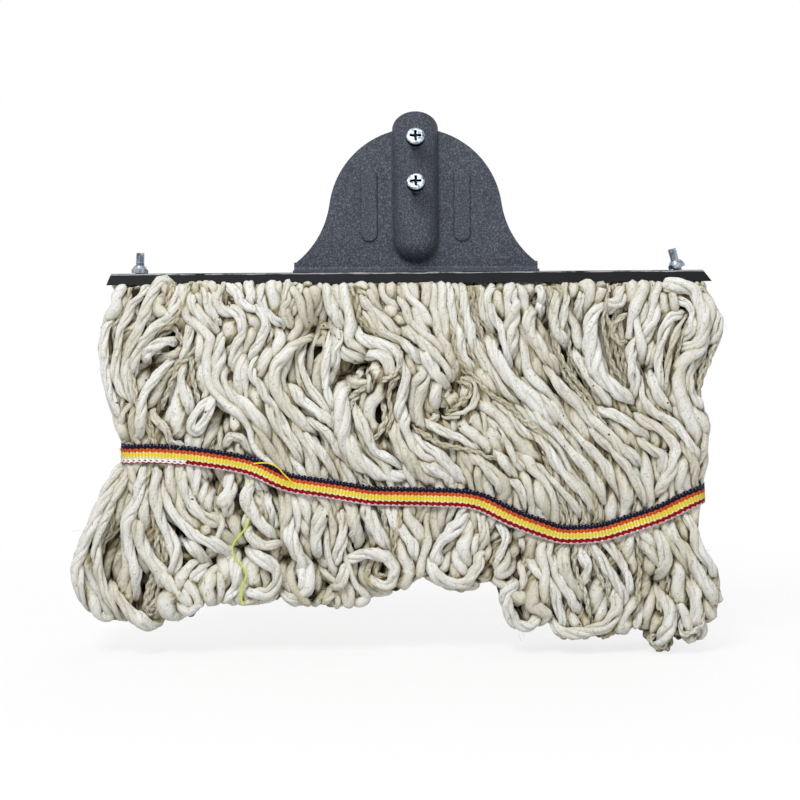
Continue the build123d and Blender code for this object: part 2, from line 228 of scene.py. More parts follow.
# %% Powder coat
powder_coat, tree = new_material("slate_powder_coat")
place = add_node(tree, "TexCoord")
grain = add_node(tree, "TexNoise", {
    "Vector": place.outputs["Object"], "Scale": per_mm(0.9), "Detail": 3.0, "Roughness": 0.75,
})
patches = add_node(tree, "TexNoise", {
    "Vector": place.outputs["Object"], "Scale": per_mm(28), "Detail": 2.0,
})
grain_tone = add_node(tree, "ValToRGB", {"Fac": grain.outputs["Fac"]})
set_stops(grain_tone, [(0.34, "#2c3038"), (0.52, "#484c56"), (0.72, "#7e8390")])
patch_tone = add_node(tree, "Mix", {
    0: patches.outputs["Fac"], 6: linear("#c9cbd2"), 7: linear("#ffffff"),
}, data_type="RGBA")
coat_colour = add_node(tree, "Mix", {
    0: 1.0, 6: grain_tone.outputs["Color"], 7: patch_tone.outputs[2],
}, data_type="RGBA", blend_type="MULTIPLY")
coat_bump = add_node(tree, "Bump", {
    "Height": grain.outputs["Fac"], "Strength": 0.35, "Distance": 0.3 * MM,
})
coat_rough = add_node(tree, "MapRange", {"Value": grain.outputs["Fac"], 3: 0.62, 4: 0.42})
shader = add_node(tree, "BsdfPrincipled", {
    "Base Color": coat_colour.outputs[2], "Roughness": coat_rough, "Normal": coat_bump,
    "Specular IOR Level": 0.3,
})
finish_material(tree, shader)
print(powder_coat.name, "nodes", len(tree.nodes))

# %% [markdown]
# The clamp channel and the jaw bar are dipped in charcoal paint, nearly black. Along the fold of the channel
# the paint turns pale grey in one fine, wavy and broken line.

# %% Charcoal paint
channel_top = float(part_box("clamp_channel")[1].z)
charcoal, tree = new_material("charcoal_dip_paint")
place = add_node(tree, "TexCoord")
spot = add_node(tree, "SeparateXYZ", {0: place.outputs["Object"]})
cloud = add_node(tree, "TexNoise", {
    "Vector": place.outputs["Object"], "Scale": per_mm(14), "Detail": 5.0, "Roughness": 0.65,
})
wobble_run = add_node(tree, "Mapping", {0: place.outputs["Object"], "Scale": (0.16, 1.0, 1.0)})
line_wobble = add_node(tree, "TexNoise", {
    "Vector": wobble_run, "Scale": per_mm(3.0), "Detail": 3.0, "Roughness": 0.6,
})
paint_tone = add_node(tree, "Mix", {
    0: cloud.outputs["Fac"], 6: linear("#0d0e10"), 7: linear("#1f2024"),
}, data_type="RGBA")
below_top = add_node(tree, "Math", {0: channel_top, 1: spot.outputs["Z"]}, operation="SUBTRACT")
wavy = add_node(tree, "Math", {0: line_wobble.outputs["Fac"], 1: -1.6 * MM, 2: below_top},
                operation="MULTIPLY_ADD")
off_line = add_node(tree, "Math", {0: wavy, 1: 0.2 * MM}, operation="ADD")
off_line = add_node(tree, "Math", {0: off_line}, operation="ABSOLUTE")
on_line = add_node(tree, "MapRange", {"Value": off_line, 1: 0.42 * MM, 2: 0.12 * MM})
broken = add_node(tree, "MapRange", {"Value": cloud.outputs["Fac"], 1: 0.36, 2: 0.5})
# A fine, wavy, broken pale grey line along the fold of the channel
pale_line = add_node(tree, "Math", {0: on_line, 1: broken}, operation="MULTIPLY")
paint_colour = add_node(tree, "Mix", {
    0: pale_line, 6: paint_tone.outputs[2], 7: linear("#a6a9ad"),
}, data_type="RGBA")
paint_bump = add_node(tree, "Bump", {
    "Height": cloud.outputs["Fac"], "Strength": 0.3, "Distance": 0.5 * MM,
})
shader = add_node(tree, "BsdfPrincipled", {
    "Base Color": paint_colour.outputs[2], "Roughness": 0.6, "Normal": paint_bump,
    "Specular IOR Level": 0.12,
})
finish_material(tree, shader)
print(charcoal.name, "nodes", len(tree.nodes))

# %% [markdown]
# The fasteners are bright zinc plate: a pale bluish metal, cloudy and stained. The handle screws have bright
# faces, and painted shade, near black, fills their cross recesses and covers the rims of their heads. One
# function makes both finishes. For a screw it is told how far along the screw's axis its face lies, and paints
# shade on what lies a little below the face.

# %% Zinc plate
SCREW_LEAN = radians(24.0)
SCREW_AXIS = Vector((0.0, -cos(SCREW_LEAN), sin(SCREW_LEAN)))
HEAD_HEIGHT = 3.6
PAINTED_SHADE_END = HEAD_HEIGHT + 1.2


def zinc_finish(name, dark, pale, face=None):
    """Zinc plate, and with the place of a screw's face also painted shade below that face."""
    finish, tree = new_material(name)
    place = add_node(tree, "TexCoord")
    cloud = add_node(tree, "TexNoise", {
        "Vector": place.outputs["Object"], "Scale": per_mm(2.4), "Detail": 4.0, "Roughness": 0.6,
    })
    stain = add_node(tree, "MapRange", {"Value": cloud.outputs["Fac"], 1: 0.35, 2: 0.62})
    colour = add_node(tree, "Mix", {
        0: stain, 6: linear(dark), 7: linear(pale),
    }, data_type="RGBA").outputs[2]
    if face is not None:
        along = add_node(tree, "VectorMath", {0: place.outputs["Object"], 1: SCREW_AXIS},
                         operation="DOT_PRODUCT")
        below = add_node(tree, "Math", {0: face, 1: along.outputs["Value"]}, operation="SUBTRACT")
        # Painted shade in the cross recess and on the rim of the head, from just below the face to the end of
        # the head
        painted_shade = add_node(tree, "MapRange", {"Value": below, 1: 0.5 * MM, 2: 1.3 * MM})
        on_head = add_node(tree, "Math", {0: below, 1: PAINTED_SHADE_END * MM}, operation="LESS_THAN")
        painted_shade = add_node(tree, "Math", {0: painted_shade, 1: on_head}, operation="MULTIPLY")
        colour = add_node(tree, "Mix", {
            0: painted_shade, 6: colour, 7: linear("#17181d"),
        }, data_type="RGBA").outputs[2]
    rough = add_node(tree, "MapRange", {"Value": cloud.outputs["Fac"], 3: 0.25, 4: 0.45})
    bump = add_node(tree, "Bump", {
        "Height": cloud.outputs["Fac"], "Strength": 0.4, "Distance": 0.2 * MM,
    })
    shader = add_node(tree, "BsdfPrincipled", {
        "Base Color": colour, "Metallic": 1.0, "Roughness": rough, "Normal": bump,
    })
    finish_material(tree, shader)
    return finish


zinc_plate = zinc_finish("bright_zinc_plate", "#69717f", "#b4bcc4")
screw_finishes = {}
for level in ("upper", "lower"):
    screw = nodes[f"{level}_handle_screw"]
    face = max((screw.matrix_world @ vertex.co).dot(SCREW_AXIS) for vertex in screw.data.vertices)
    screw_finishes[level] = zinc_finish(f"painted_shade_zinc_{level}_screw", "#525e6f", "#ccd7dd", face)
    print(level, "screw face at", round(face / MM, 1))

# %% [markdown]
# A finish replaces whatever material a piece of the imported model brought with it. Its mesh stays as it is, so
# the finish is simply put in the only slot of each.

# %% Finishes on the steel pieces
finishes = {
    powder_coat: ["front_socket_shell", "rear_socket_shell"],
    charcoal: ["clamp_channel", "jaw_bar"],
    zinc_plate: ["left_clamp_nut", "right_clamp_nut", "left_clamp_bolt", "right_clamp_bolt"],
    screw_finishes["upper"]: ["upper_handle_screw"],
    screw_finishes["lower"]: ["lower_handle_screw"],
}
for finish, names in finishes.items():
    for name in names:
        nodes[name].data.materials.clear()
        nodes[name].data.materials.append(finish)
print("finished", sum(len(names) for names in finishes.values()), "steel pieces")

# %% [markdown]
# The yarn is loosely spun cotton, left undyed: soft, nearly white rovings with fibres that run along them at
# a slant, and thinner beige plies that are twisted hard, so that their grooves show, darkened by painted shade.
# The strands carry attributes for this: their tone, how hard they are twisted, how much painted shade a point
# gets from lying deep in the pile or against another strand, and its place round and along the strand.

# %% Cotton yarn
FIBRE_STRETCH = 6.0
GROOVE_PITCH = 2.6
FIBRE_SIZE, CLUMP_SIZE, PATCH_SIZE, FLUFF_SIZE, FLECK_SIZE = 0.75, 3.2, 22, 0.8, 1.8
cotton, tree = new_material("undyed_cotton_yarn")
on_piece = add_node(tree, "TexCoord").outputs["Object"]
marks = {}
for name in ("fibre", "tone", "twist", "deep"):
    marks[name] = add_node(tree, "Attribute", attribute_name=name)
on_strand = marks["fibre"].outputs["Vector"]
noises = {}
for name, spot, scale, detail, roughness in (
    ("fibres", on_strand, 1.0 / FIBRE_SIZE, 5.0, 0.68),
    ("clumps", on_strand, 1.0 / CLUMP_SIZE, 2.0, 0.5),
    ("patches", on_piece, per_mm(PATCH_SIZE), 2.0, 0.6),
    ("fluff", on_piece, per_mm(FLUFF_SIZE), 2.0, 0.6),
    ("flecks", on_piece, per_mm(FLECK_SIZE), 3.0, 0.6),
):
    noises[name] = add_node(tree, "TexNoise", {
        "Vector": spot, "Scale": scale, "Detail": detail, "Roughness": roughness,
    }).outputs["Fac"]
patch_shift = add_node(tree, "MapRange", {
    "Value": noises["patches"], 1: 0.35, 2: 0.65, 3: -0.22, 4: 0.2,
})
mixed_tone = add_node(tree, "Math", {0: marks["tone"].outputs["Fac"], 1: patch_shift},
                      operation="ADD", use_clamp=True)
strand_tone = add_node(tree, "Mix", {
    0: mixed_tone, 6: linear("#cfc7aa"), 7: linear("#f5f5f1"),
}, data_type="RGBA")
around = add_node(tree, "SeparateXYZ", {0: on_strand})
angle = add_node(tree, "Math", {0: around.outputs["Y"], 1: around.outputs["X"]}, operation="ARCTAN2")
travel = add_node(tree, "Math", {0: around.outputs["Z"], 1: 2 * pi * FIBRE_STRETCH / GROOVE_PITCH},
                  operation="MULTIPLY")
phase = add_node(tree, "Math", {0: angle, 1: 2.0, 2: travel}, operation="MULTIPLY_ADD")
ridge = add_node(tree, "Math", {0: phase}, operation="COSINE")
# The grooves of the twist, used below both as painted shade and as relief
groove = add_node(tree, "MapRange", {"Value": ridge, 1: -0.2, 2: -1.0})
groove = add_node(tree, "Math", {0: groove, 1: marks["twist"].outputs["Fac"]}, operation="MULTIPLY")
print("marks", list(marks), "noises", list(noises))

# %% [markdown]
# Several things darken the cotton: the gaps between fibres, clumps of them, painted shade in the grooves of
# the twist, fluff and brown flecks. Each gives a factor, and the factors are multiplied. Painted shade then
# darkens the hollows and gaps of the pile, by how deep a point lies there, and seed specks are strewn over it
# all.

# %% Shade, painted shade and seeds of the cotton
streak = add_node(tree, "MapRange", {"Value": mixed_tone, 3: 0.42, 4: 0.74})
shade = add_node(tree, "MapRange", {
    "Value": noises["fibres"], 1: 0.34, 2: 0.5, 3: streak, 4: 1.0,
})
for value, low, high, at_low, at_high in (
    (noises["clumps"], 0.32, 0.46, 0.84, 1.0),
    (groove, 0.0, 1.0, 1.0, 0.52),
    (noises["fluff"], 0.3, 0.52, 0.82, 1.0),
    (noises["flecks"], 0.58, 0.7, 1.0, 0.45),
):
    factor = add_node(tree, "MapRange", {"Value": value, 1: low, 2: high, 3: at_low, 4: at_high})
    shade = add_node(tree, "Math", {0: shade, 1: factor}, operation="MULTIPLY")
shaded = add_node(tree, "Mix", {
    0: shade, 6: linear("#8d8566"), 7: strand_tone.outputs[2],
}, data_type="RGBA")
ragged = add_node(tree, "MapRange", {"Value": noises["clumps"], 1: 0.3, 2: 0.7, 3: 1.25, 4: 0.6})
# Painted shade of the hollows and gaps of the pile, read from the deep attribute and made ragged by the clumps;
# dark stray fibres take the same ramp
painted_shade_amount = add_node(tree, "Math", {0: marks["deep"].outputs["Fac"], 1: ragged},
                 operation="MULTIPLY", use_clamp=True)
painted_shade_tone = add_node(tree, "ValToRGB", {"Fac": painted_shade_amount})
set_stops(painted_shade_tone, [(0.0, "#ffffff"), (0.48, "#f0ecdf"), (0.76, "#a3987a"), (1.0, "#2f281e")])
with_painted_shade = add_node(tree, "Mix", {
    0: 1.0, 6: shaded.outputs[2], 7: painted_shade_tone.outputs["Color"],
}, data_type="RGBA", blend_type="MULTIPLY")
seed_bend = add_node(tree, "TexNoise", {"Vector": on_piece, "Scale": per_mm(1.2)})
seed_place = add_node(tree, "VectorMath", {
    0: seed_bend.outputs["Color"], 1: (1.5 * MM,) * 3, 2: on_piece,
}, operation="MULTIPLY_ADD")
seeds = add_node(tree, "TexVoronoi", {"Vector": seed_place, "Scale": per_mm(8)})
seed_kind = add_node(tree, "SeparateColor", {0: seeds.outputs["Color"]})
seed_size = add_node(tree, "MapRange", {
    "Value": seed_kind, 1: 0.45, 2: 1.0, 3: 0.0, 4: 0.09,
})
seed_spot = add_node(tree, "Math", {0: seeds.outputs["Distance"], 1: seed_size}, operation="LESS_THAN")
cotton_colour = add_node(tree, "Mix", {
    0: seed_spot, 6: with_painted_shade.outputs[2], 7: linear("#2c241b"),
}, data_type="RGBA")
fibre_height = add_node(tree, "Math", {0: groove, 1: -0.8, 2: noises["fibres"]}, operation="MULTIPLY_ADD")
cotton_bump = add_node(tree, "Bump", {
    "Height": fibre_height, "Strength": 0.9, "Distance": 0.8 * MM,
})
shader = add_node(tree, "BsdfPrincipled", {
    "Base Color": cotton_colour.outputs[2], "Roughness": 0.95, "Normal": cotton_bump,
    "Specular IOR Level": 0.12, "Sheen Weight": 0.15, "Sheen Roughness": 0.5,
})
finish_material(tree, shader)
print(cotton.name, "nodes", len(tree.nodes))

# %% [markdown]
# The stay tape decides where the yarn parts, so its line is settled before the yarn is laid.

# %% Tape line
TAPE_WIDTH = 10.4
TAPE_FACE = 22.35
TAPE_PIXELS = [
    (115, 454.5), (128, 454.3), (142, 453), (162, 453.8), (182, 455.2), (202, 457), (222, 460.2), (240, 462.8),
    (260, 468.7), (275, 478), (290, 483.5), (310, 486), (340, 490.3), (370, 496), (430, 496.8), (465, 498),
    (482, 501), (500, 511.5), (520, 520.5), (540, 527.2), (560, 535), (600, 533.5), (620, 526.5), (640, 520.5),
    (660, 514), (680, 504), (698, 495.8), (706, 494),
]
TAPE_LINE = [from_photo(px, py, TAPE_FACE) for px, py in TAPE_PIXELS]
TAPE_END_PIXELS = [(121, 454), (705, 494)]
TAPE_ENDS = [float(from_photo(px, py)[0]) for px, py in TAPE_END_PIXELS]


def tape_level(x):
    """Height of the tape's middle at a place along the bar."""
    return np.interp(x, [p[0] for p in TAPE_LINE], [p[1] for p in TAPE_LINE])


print("tape ends at", [round(end, 1) for end in TAPE_ENDS])

# %% [markdown]
# Each lock of the yarn follows a route read from the photograph: a few pixels from the clamp bar
# down to the tape, and a few more from the tape to its foot. A route also says how far out from the middle
# of the mop it runs, so that some locks pass over others. Right of the middle the locks slant in an even fan,
# so a rule gives their upper pixels. Four strands make a lock.

# %% Routes of the locks
BAR_ROW, TAPE_ROW, FOOT_ROW = 284, 490, 610
# The fan: pixels at which its locks meet the tape, and where such locks start at the bar
FAN_AT_TAPE, FAN_AT_BAR = (494, 560, 600, 662), (398, 426, 466, 602)
# Share of the way across that a lock of the fan has gone at each row
FAN_SHARES = {BAR_ROW: 0, 312: 0.04, 340: 0.13, 380: 0.32, 420: 0.57, 460: 0.82, TAPE_ROW: 0.95}


def fan(tape_px):
    """Pixels of one lock of the fan, from the bar down to the tape."""
    bar_px = float(np.interp(tape_px, FAN_AT_TAPE, FAN_AT_BAR))
    return [(round(bar_px + share * (tape_px - bar_px)), row) for row, share in FAN_SHARES.items()]


# Pixel at which the lock meets the tape, how far out it lies, its pixels above the tape and those below
ROUTES = [
    (122, 15, [(118, 284), (110, 302), (103, 326), (102, 344), (105, 370), (109, 392), (119, 420), (124, 438)],
     [(106, 490), (95, 520), (84, 550), (80, 570), (82, 590), (92, 607)]),
    (132, 17, [(132, 284), (126, 306), (119, 330), (116, 352), (117, 370), (122, 392), (131, 412), (130, 438)],
     [(122, 490), (107, 520), (94, 546), (88, 568), (96, 592), (112, 610)]),
    (127, 20, [(212, 284), (212, 306), (210, 326), (197, 340), (178, 357), (160, 371), (149, 386), (141, 408),
               (129, 434)],
     [(138, 488), (132, 516), (128, 544), (132, 568), (124, 592), (120, 612)]),
    (143, 20, [(186, 291), (174, 274), (161, 290), (151, 312), (142, 323), (131, 344), (127, 364), (130, 384),
               (134, 404), (138, 430)],
     [(142, 494), (136, 514), (148, 545), (163, 564), (182, 582), (192, 602), (194, 610)]),
    (154, 21, [(186, 284), (175, 306), (161, 323), (146, 337), (135, 357), (133, 382), (139, 408), (150, 436)],
     [(152, 500), (155, 528), (164, 545), (170, 562), (156, 590), (148, 614)]),
    (166, 15, [(142, 284), (148, 312), (156, 332), (166, 346), (152, 356), (141, 364), (150, 382), (158, 408),
               (160, 436)],
     [(168, 506), (181, 523), (199, 530), (216, 541), (233, 556), (239, 570), (235, 586), (226, 598)]),
    (178, 18, [(160, 284), (170, 306), (186, 320), (191, 338), (185, 356), (182, 372), (185, 390), (189, 406),
               (184, 424), (177, 442)],
     [(182, 495), (198, 513), (213, 525), (224, 542), (215, 562), (204, 580), (212, 596)]),
    (192, 20, [(198, 284), (205, 296), (211, 312), (207, 340), (204, 366), (208, 392), (203, 408), (191, 420),
               (190, 436)],
     [(200, 493), (210, 508), (216, 522), (211, 548), (202, 568), (184, 592), (176, 612)]),
    (206, 16, [(232, 284), (232, 320), (230, 350), (226, 380), (219, 404), (216, 420), (207, 432)],
     [(212, 490), (220, 512), (212, 532), (192, 554), (174, 576), (170, 604)]),
    (222, 17, [(214, 283), (212, 294), (218, 305), (231, 311), (241, 309), (251, 316), (250, 328), (242, 344),
               (235, 362), (230, 384), (226, 416), (222, 444)],
     [(229, 491), (227, 512), (226, 536), (232, 560), (226, 586), (218, 597)]),
    (238, 18, [(226, 283), (230, 293), (238, 302), (254, 305), (267, 310), (271, 322), (263, 335), (255, 350),
               (247, 366), (240, 384), (238, 416), (236, 448)],
     [(244, 501), (255, 521), (268, 529), (276, 540), (264, 556), (251, 574), (254, 592)]),
    (254, 15, [(250, 283), (254, 294), (250, 312), (258, 336), (256, 364), (252, 392), (254, 424), (252, 452)],
     [(258, 503), (268, 522), (280, 540), (280, 562), (277, 584), (268, 596)]),
    (270, 16, [(262, 284), (258, 306), (268, 330), (266, 350), (258, 376), (264, 404), (268, 430), (268, 458)],
     [(276, 504), (288, 508), (282, 520), (264, 536), (257, 556), (260, 580), (266, 594)]),
    (288, 22, [(188, 284), (187, 294), (192, 304), (203, 314), (217, 324), (221, 338), (214, 352), (214, 373),
               (221, 391), (236, 404), (252, 414), (264, 430), (274, 452)],
     [(291, 510), (292, 530), (293, 550), (286, 570), (284, 588), (294, 598)]),
    (304, 17, [(278, 284), (276, 298), (278, 312), (288, 324), (290, 338), (276, 354), (264, 372), (262, 388),
               (271, 408), (284, 426), (298, 450)],
     [(306, 505), (316, 520), (322, 534), (316, 550), (308, 568), (308, 590)]),
    (318, 20, [(296, 284), (304, 306), (308, 330), (303, 340), (288, 349), (274, 364), (272, 386), (286, 404),
               (297, 421), (310, 442), (316, 462)],
     [(322, 508), (328, 525), (324, 545), (330, 566), (340, 584), (334, 600)]),
    (334, 16, [(297, 286), (295, 300), (302, 318), (318, 329), (333, 332), (341, 342), (334, 357), (325, 372),
               (321, 386), (324, 408), (330, 436)],
     [(341, 505), (339, 526), (330, 550), (336, 574), (330, 598)]),
    (348, 17, [(312, 284), (314, 310), (313, 334), (304, 350), (298, 366), (298, 378), (306, 392), (318, 406),
               (332, 420), (342, 444)],
     [(352, 508), (354, 530), (344, 556), (346, 580), (354, 598)]),
    (366, 13, [(322, 284), (330, 300), (338, 314), (338, 330), (332, 350), (327, 372), (326, 396), (338, 424),
               (358, 462)],
     [(372, 512), (378, 538), (372, 560), (362, 580), (370, 596)]),
    (384, 23, [(350, 284), (360, 306), (378, 334), (392, 356), (388, 372), (370, 381), (352, 388), (342, 404),
               (340, 422), (346, 444), (360, 462)],
     [(386, 510), (396, 536), (398, 562), (388, 580), (372, 582), (365, 572), (374, 564)]),
    (396, 22, [(338, 283), (345, 298), (348, 322), (350, 342), (360, 351), (376, 352), (386, 363), (384, 380),
               (366, 398), (362, 420), (374, 440), (388, 464)],
     [(404, 514), (408, 538), (410, 562), (398, 582)]),
    (410, 18, [(352, 284), (358, 302), (374, 318), (388, 333), (400, 346), (408, 364), (402, 388), (395, 410),
               (398, 432), (406, 462)],
     [(412, 514), (416, 540), (414, 564), (402, 584)]),
    (424, 19, [(364, 284), (374, 304), (392, 322), (412, 344), (427, 354), (432, 368), (422, 388), (414, 408),
               (420, 424), (424, 456)],
     [(426, 512), (420, 536), (418, 558), (412, 574)]),
    (440, 17, [(376, 284), (388, 304), (408, 324), (430, 346), (445, 366), (446, 388), (440, 412), (440, 448)],
     [(434, 514), (427, 540), (429, 564), (444, 580), (458, 584)]),
    (458, 18, [(388, 284), (400, 304), (420, 326), (444, 352), (460, 378), (468, 396), (460, 416), (454, 444)],
     [(457, 509), (453, 533), (448, 556), (442, 576)]),
    (476, 19, [(400, 284), (410, 304), (432, 328), (456, 358), (474, 384), (480, 404), (474, 432), (474, 462)],
     [(476, 512), (472, 531), (466, 556), (462, 580)]),
    (494, 18, fan(494), [(488, 514), (478, 534), (480, 555), (476, 576)]),
    (512, 17, fan(512), [(506, 520), (496, 540), (490, 556), (486, 572)]),
    (530, 18, fan(530), [(524, 530), (508, 546), (499, 562), (496, 572)]),
    (544, 21, fan(544), [(538, 540), (532, 560), (522, 580), (513, 598), (512, 618)]),
    (556, 22, fan(556), [(548, 548), (540, 568), (534, 590), (536, 610), (530, 624)]),
    (568, 22, fan(568), [(546, 552), (544, 574), (552, 594), (562, 614), (570, 630)]),
    (579, 18, fan(579), [(562, 556), (564, 574), (574, 594), (576, 614), (574, 630)]),
    (590, 19, fan(590), [(578, 558), (584, 576), (588, 596), (584, 618), (590, 632)]),
    (602, 20, fan(602), [(592, 552), (602, 572), (616, 590), (620, 610), (606, 630)]),
    (614, 18, fan(614), [(606, 552), (610, 576), (602, 600), (600, 630)]),
    (626, 18, fan(626), [(620, 546), (630, 566), (634, 590), (626, 612), (618, 626)]),
    (638, 19, fan(638), [(640, 544), (646, 566), (642, 592), (634, 614), (630, 622)]),
    (650, 20, fan(650), [(656, 542), (656, 566), (648, 592), (640, 612)]),
    (660, 18, [(598, 284), (600, 318), (608, 350), (618, 382), (642, 406), (660, 434), (664, 468)],
     [(663, 536), (670, 556), (676, 578), (666, 604), (657, 628), (654, 642)]),
    (669, 18, [(616, 284), (618, 318), (626, 352), (638, 384), (656, 412), (671, 440), (674, 468)],
     [(672, 536), (678, 560), (682, 584), (672, 612), (666, 642)]),
    (677, 20, [(634, 284), (636, 318), (641, 352), (643, 384), (645, 404), (662, 421), (680, 432), (686, 460)],
     [(679, 532), (688, 558), (696, 584), (690, 610), (684, 630)]),
    (685, 18, [(650, 284), (654, 320), (658, 356), (664, 388), (680, 414), (694, 438)],
     [(684, 526), (694, 550), (706, 576), (710, 600), (704, 618)]),
    (692, 17, [(664, 284), (668, 320), (674, 356), (682, 388), (692, 414), (700, 438)],
     [(690, 522), (701, 544), (713, 568), (714, 590), (704, 608)]),
    (697, 21, [(668, 284), (688, 294), (701, 308), (698, 334), (683, 350), (678, 374), (688, 404), (702, 434)],
     [(692, 520), (698, 550), (698, 584), (694, 612), (696, 634)]),
    (700, 16, [(686, 284), (706, 304), (712, 326), (704, 352), (694, 380), (696, 410), (706, 440)],
     [(696, 524), (706, 552), (714, 580), (710, 604)]),
    (702, 15, [(698, 284), (714, 308), (720, 334), (712, 360), (702, 388), (702, 418), (707, 444)],
     [(698, 520), (702, 550), (708, 580), (700, 610), (700, 632)]),
]

# Pixels of the outline of the yarn: rows with their left and right ends, then the lower edge from the left
EDGES = np.array([
    (284, 119, 705), (291, 118, 707), (296, 110, 709), (301, 112, 711), (307, 115, 717), (313, 107, 722),
    (320, 103.5, 725), (330, 100, 726), (340, 98.5, 724), (346, 99, 715), (355, 101, 713), (365, 103, 709),
    (380, 105, 703), (390, 106, 700), (400, 108, 701), (415, 112, 707), (425, 116, 712), (433, 119, 709),
    (445, 122, 705), (458, 119.5, 708), (470, 114, 703.5), (485, 107, 705),
    (490, 104, 705), (505, 97, 700), (520, 91, 696), (535, 84, 697), (550, 78, 702),
    (565, 72, 714), (580, 74, 720), (600, 78, 721), (612, 82, 720), (660, 90, 712),
], float)
LOWER_EDGE = np.array([
    (72, 580), (78, 602), (86, 613), (104, 621), (132, 627), (148, 632), (158, 631), (165, 619), (178, 620),
    (193, 618), (199, 606), (225, 605), (262, 605), (276, 600), (281, 592), (287, 601), (302, 605), (332, 609),
    (360, 606), (378, 599), (400, 590), (413, 582), (421, 573), (428, 580), (442, 588), (458, 592), (472, 591),
    (480, 583), (492, 583), (503, 584), (506, 612), (512, 627), (520, 632), (534, 632), (541, 625), (546, 617),
    (552, 632), (562, 639), (600, 638), (622, 633), (640, 628), (648, 640), (655, 650), (664, 655), (672, 647),
    (684, 640), (692, 642), (700, 646), (706, 625), (714, 612), (721, 590),
], float)
# Pixels at which one lobe ends and the next begins: at the tape, and at the foot
LOBES_AT_TAPE = [112, 168, 186, 272, 376, 426, 508, 548, 650, 712]
LOBES_AT_FOOT = [80, 162, 199, 281, 374, 421, 505, 546, 652, 718]
print("locks", len(ROUTES))

# %% [markdown]
# The most striking strands of the photograph lie on the face of the pile, over the locks: fat white rovings
# that arch, hook and dive, and a few thin plies. Each has its own radius in millimetres, a little rise that
# puts it over its neighbours, and the pixels that it passes. One that starts at the clamp's lip comes out from
# under it, and every other end dives into the pile.

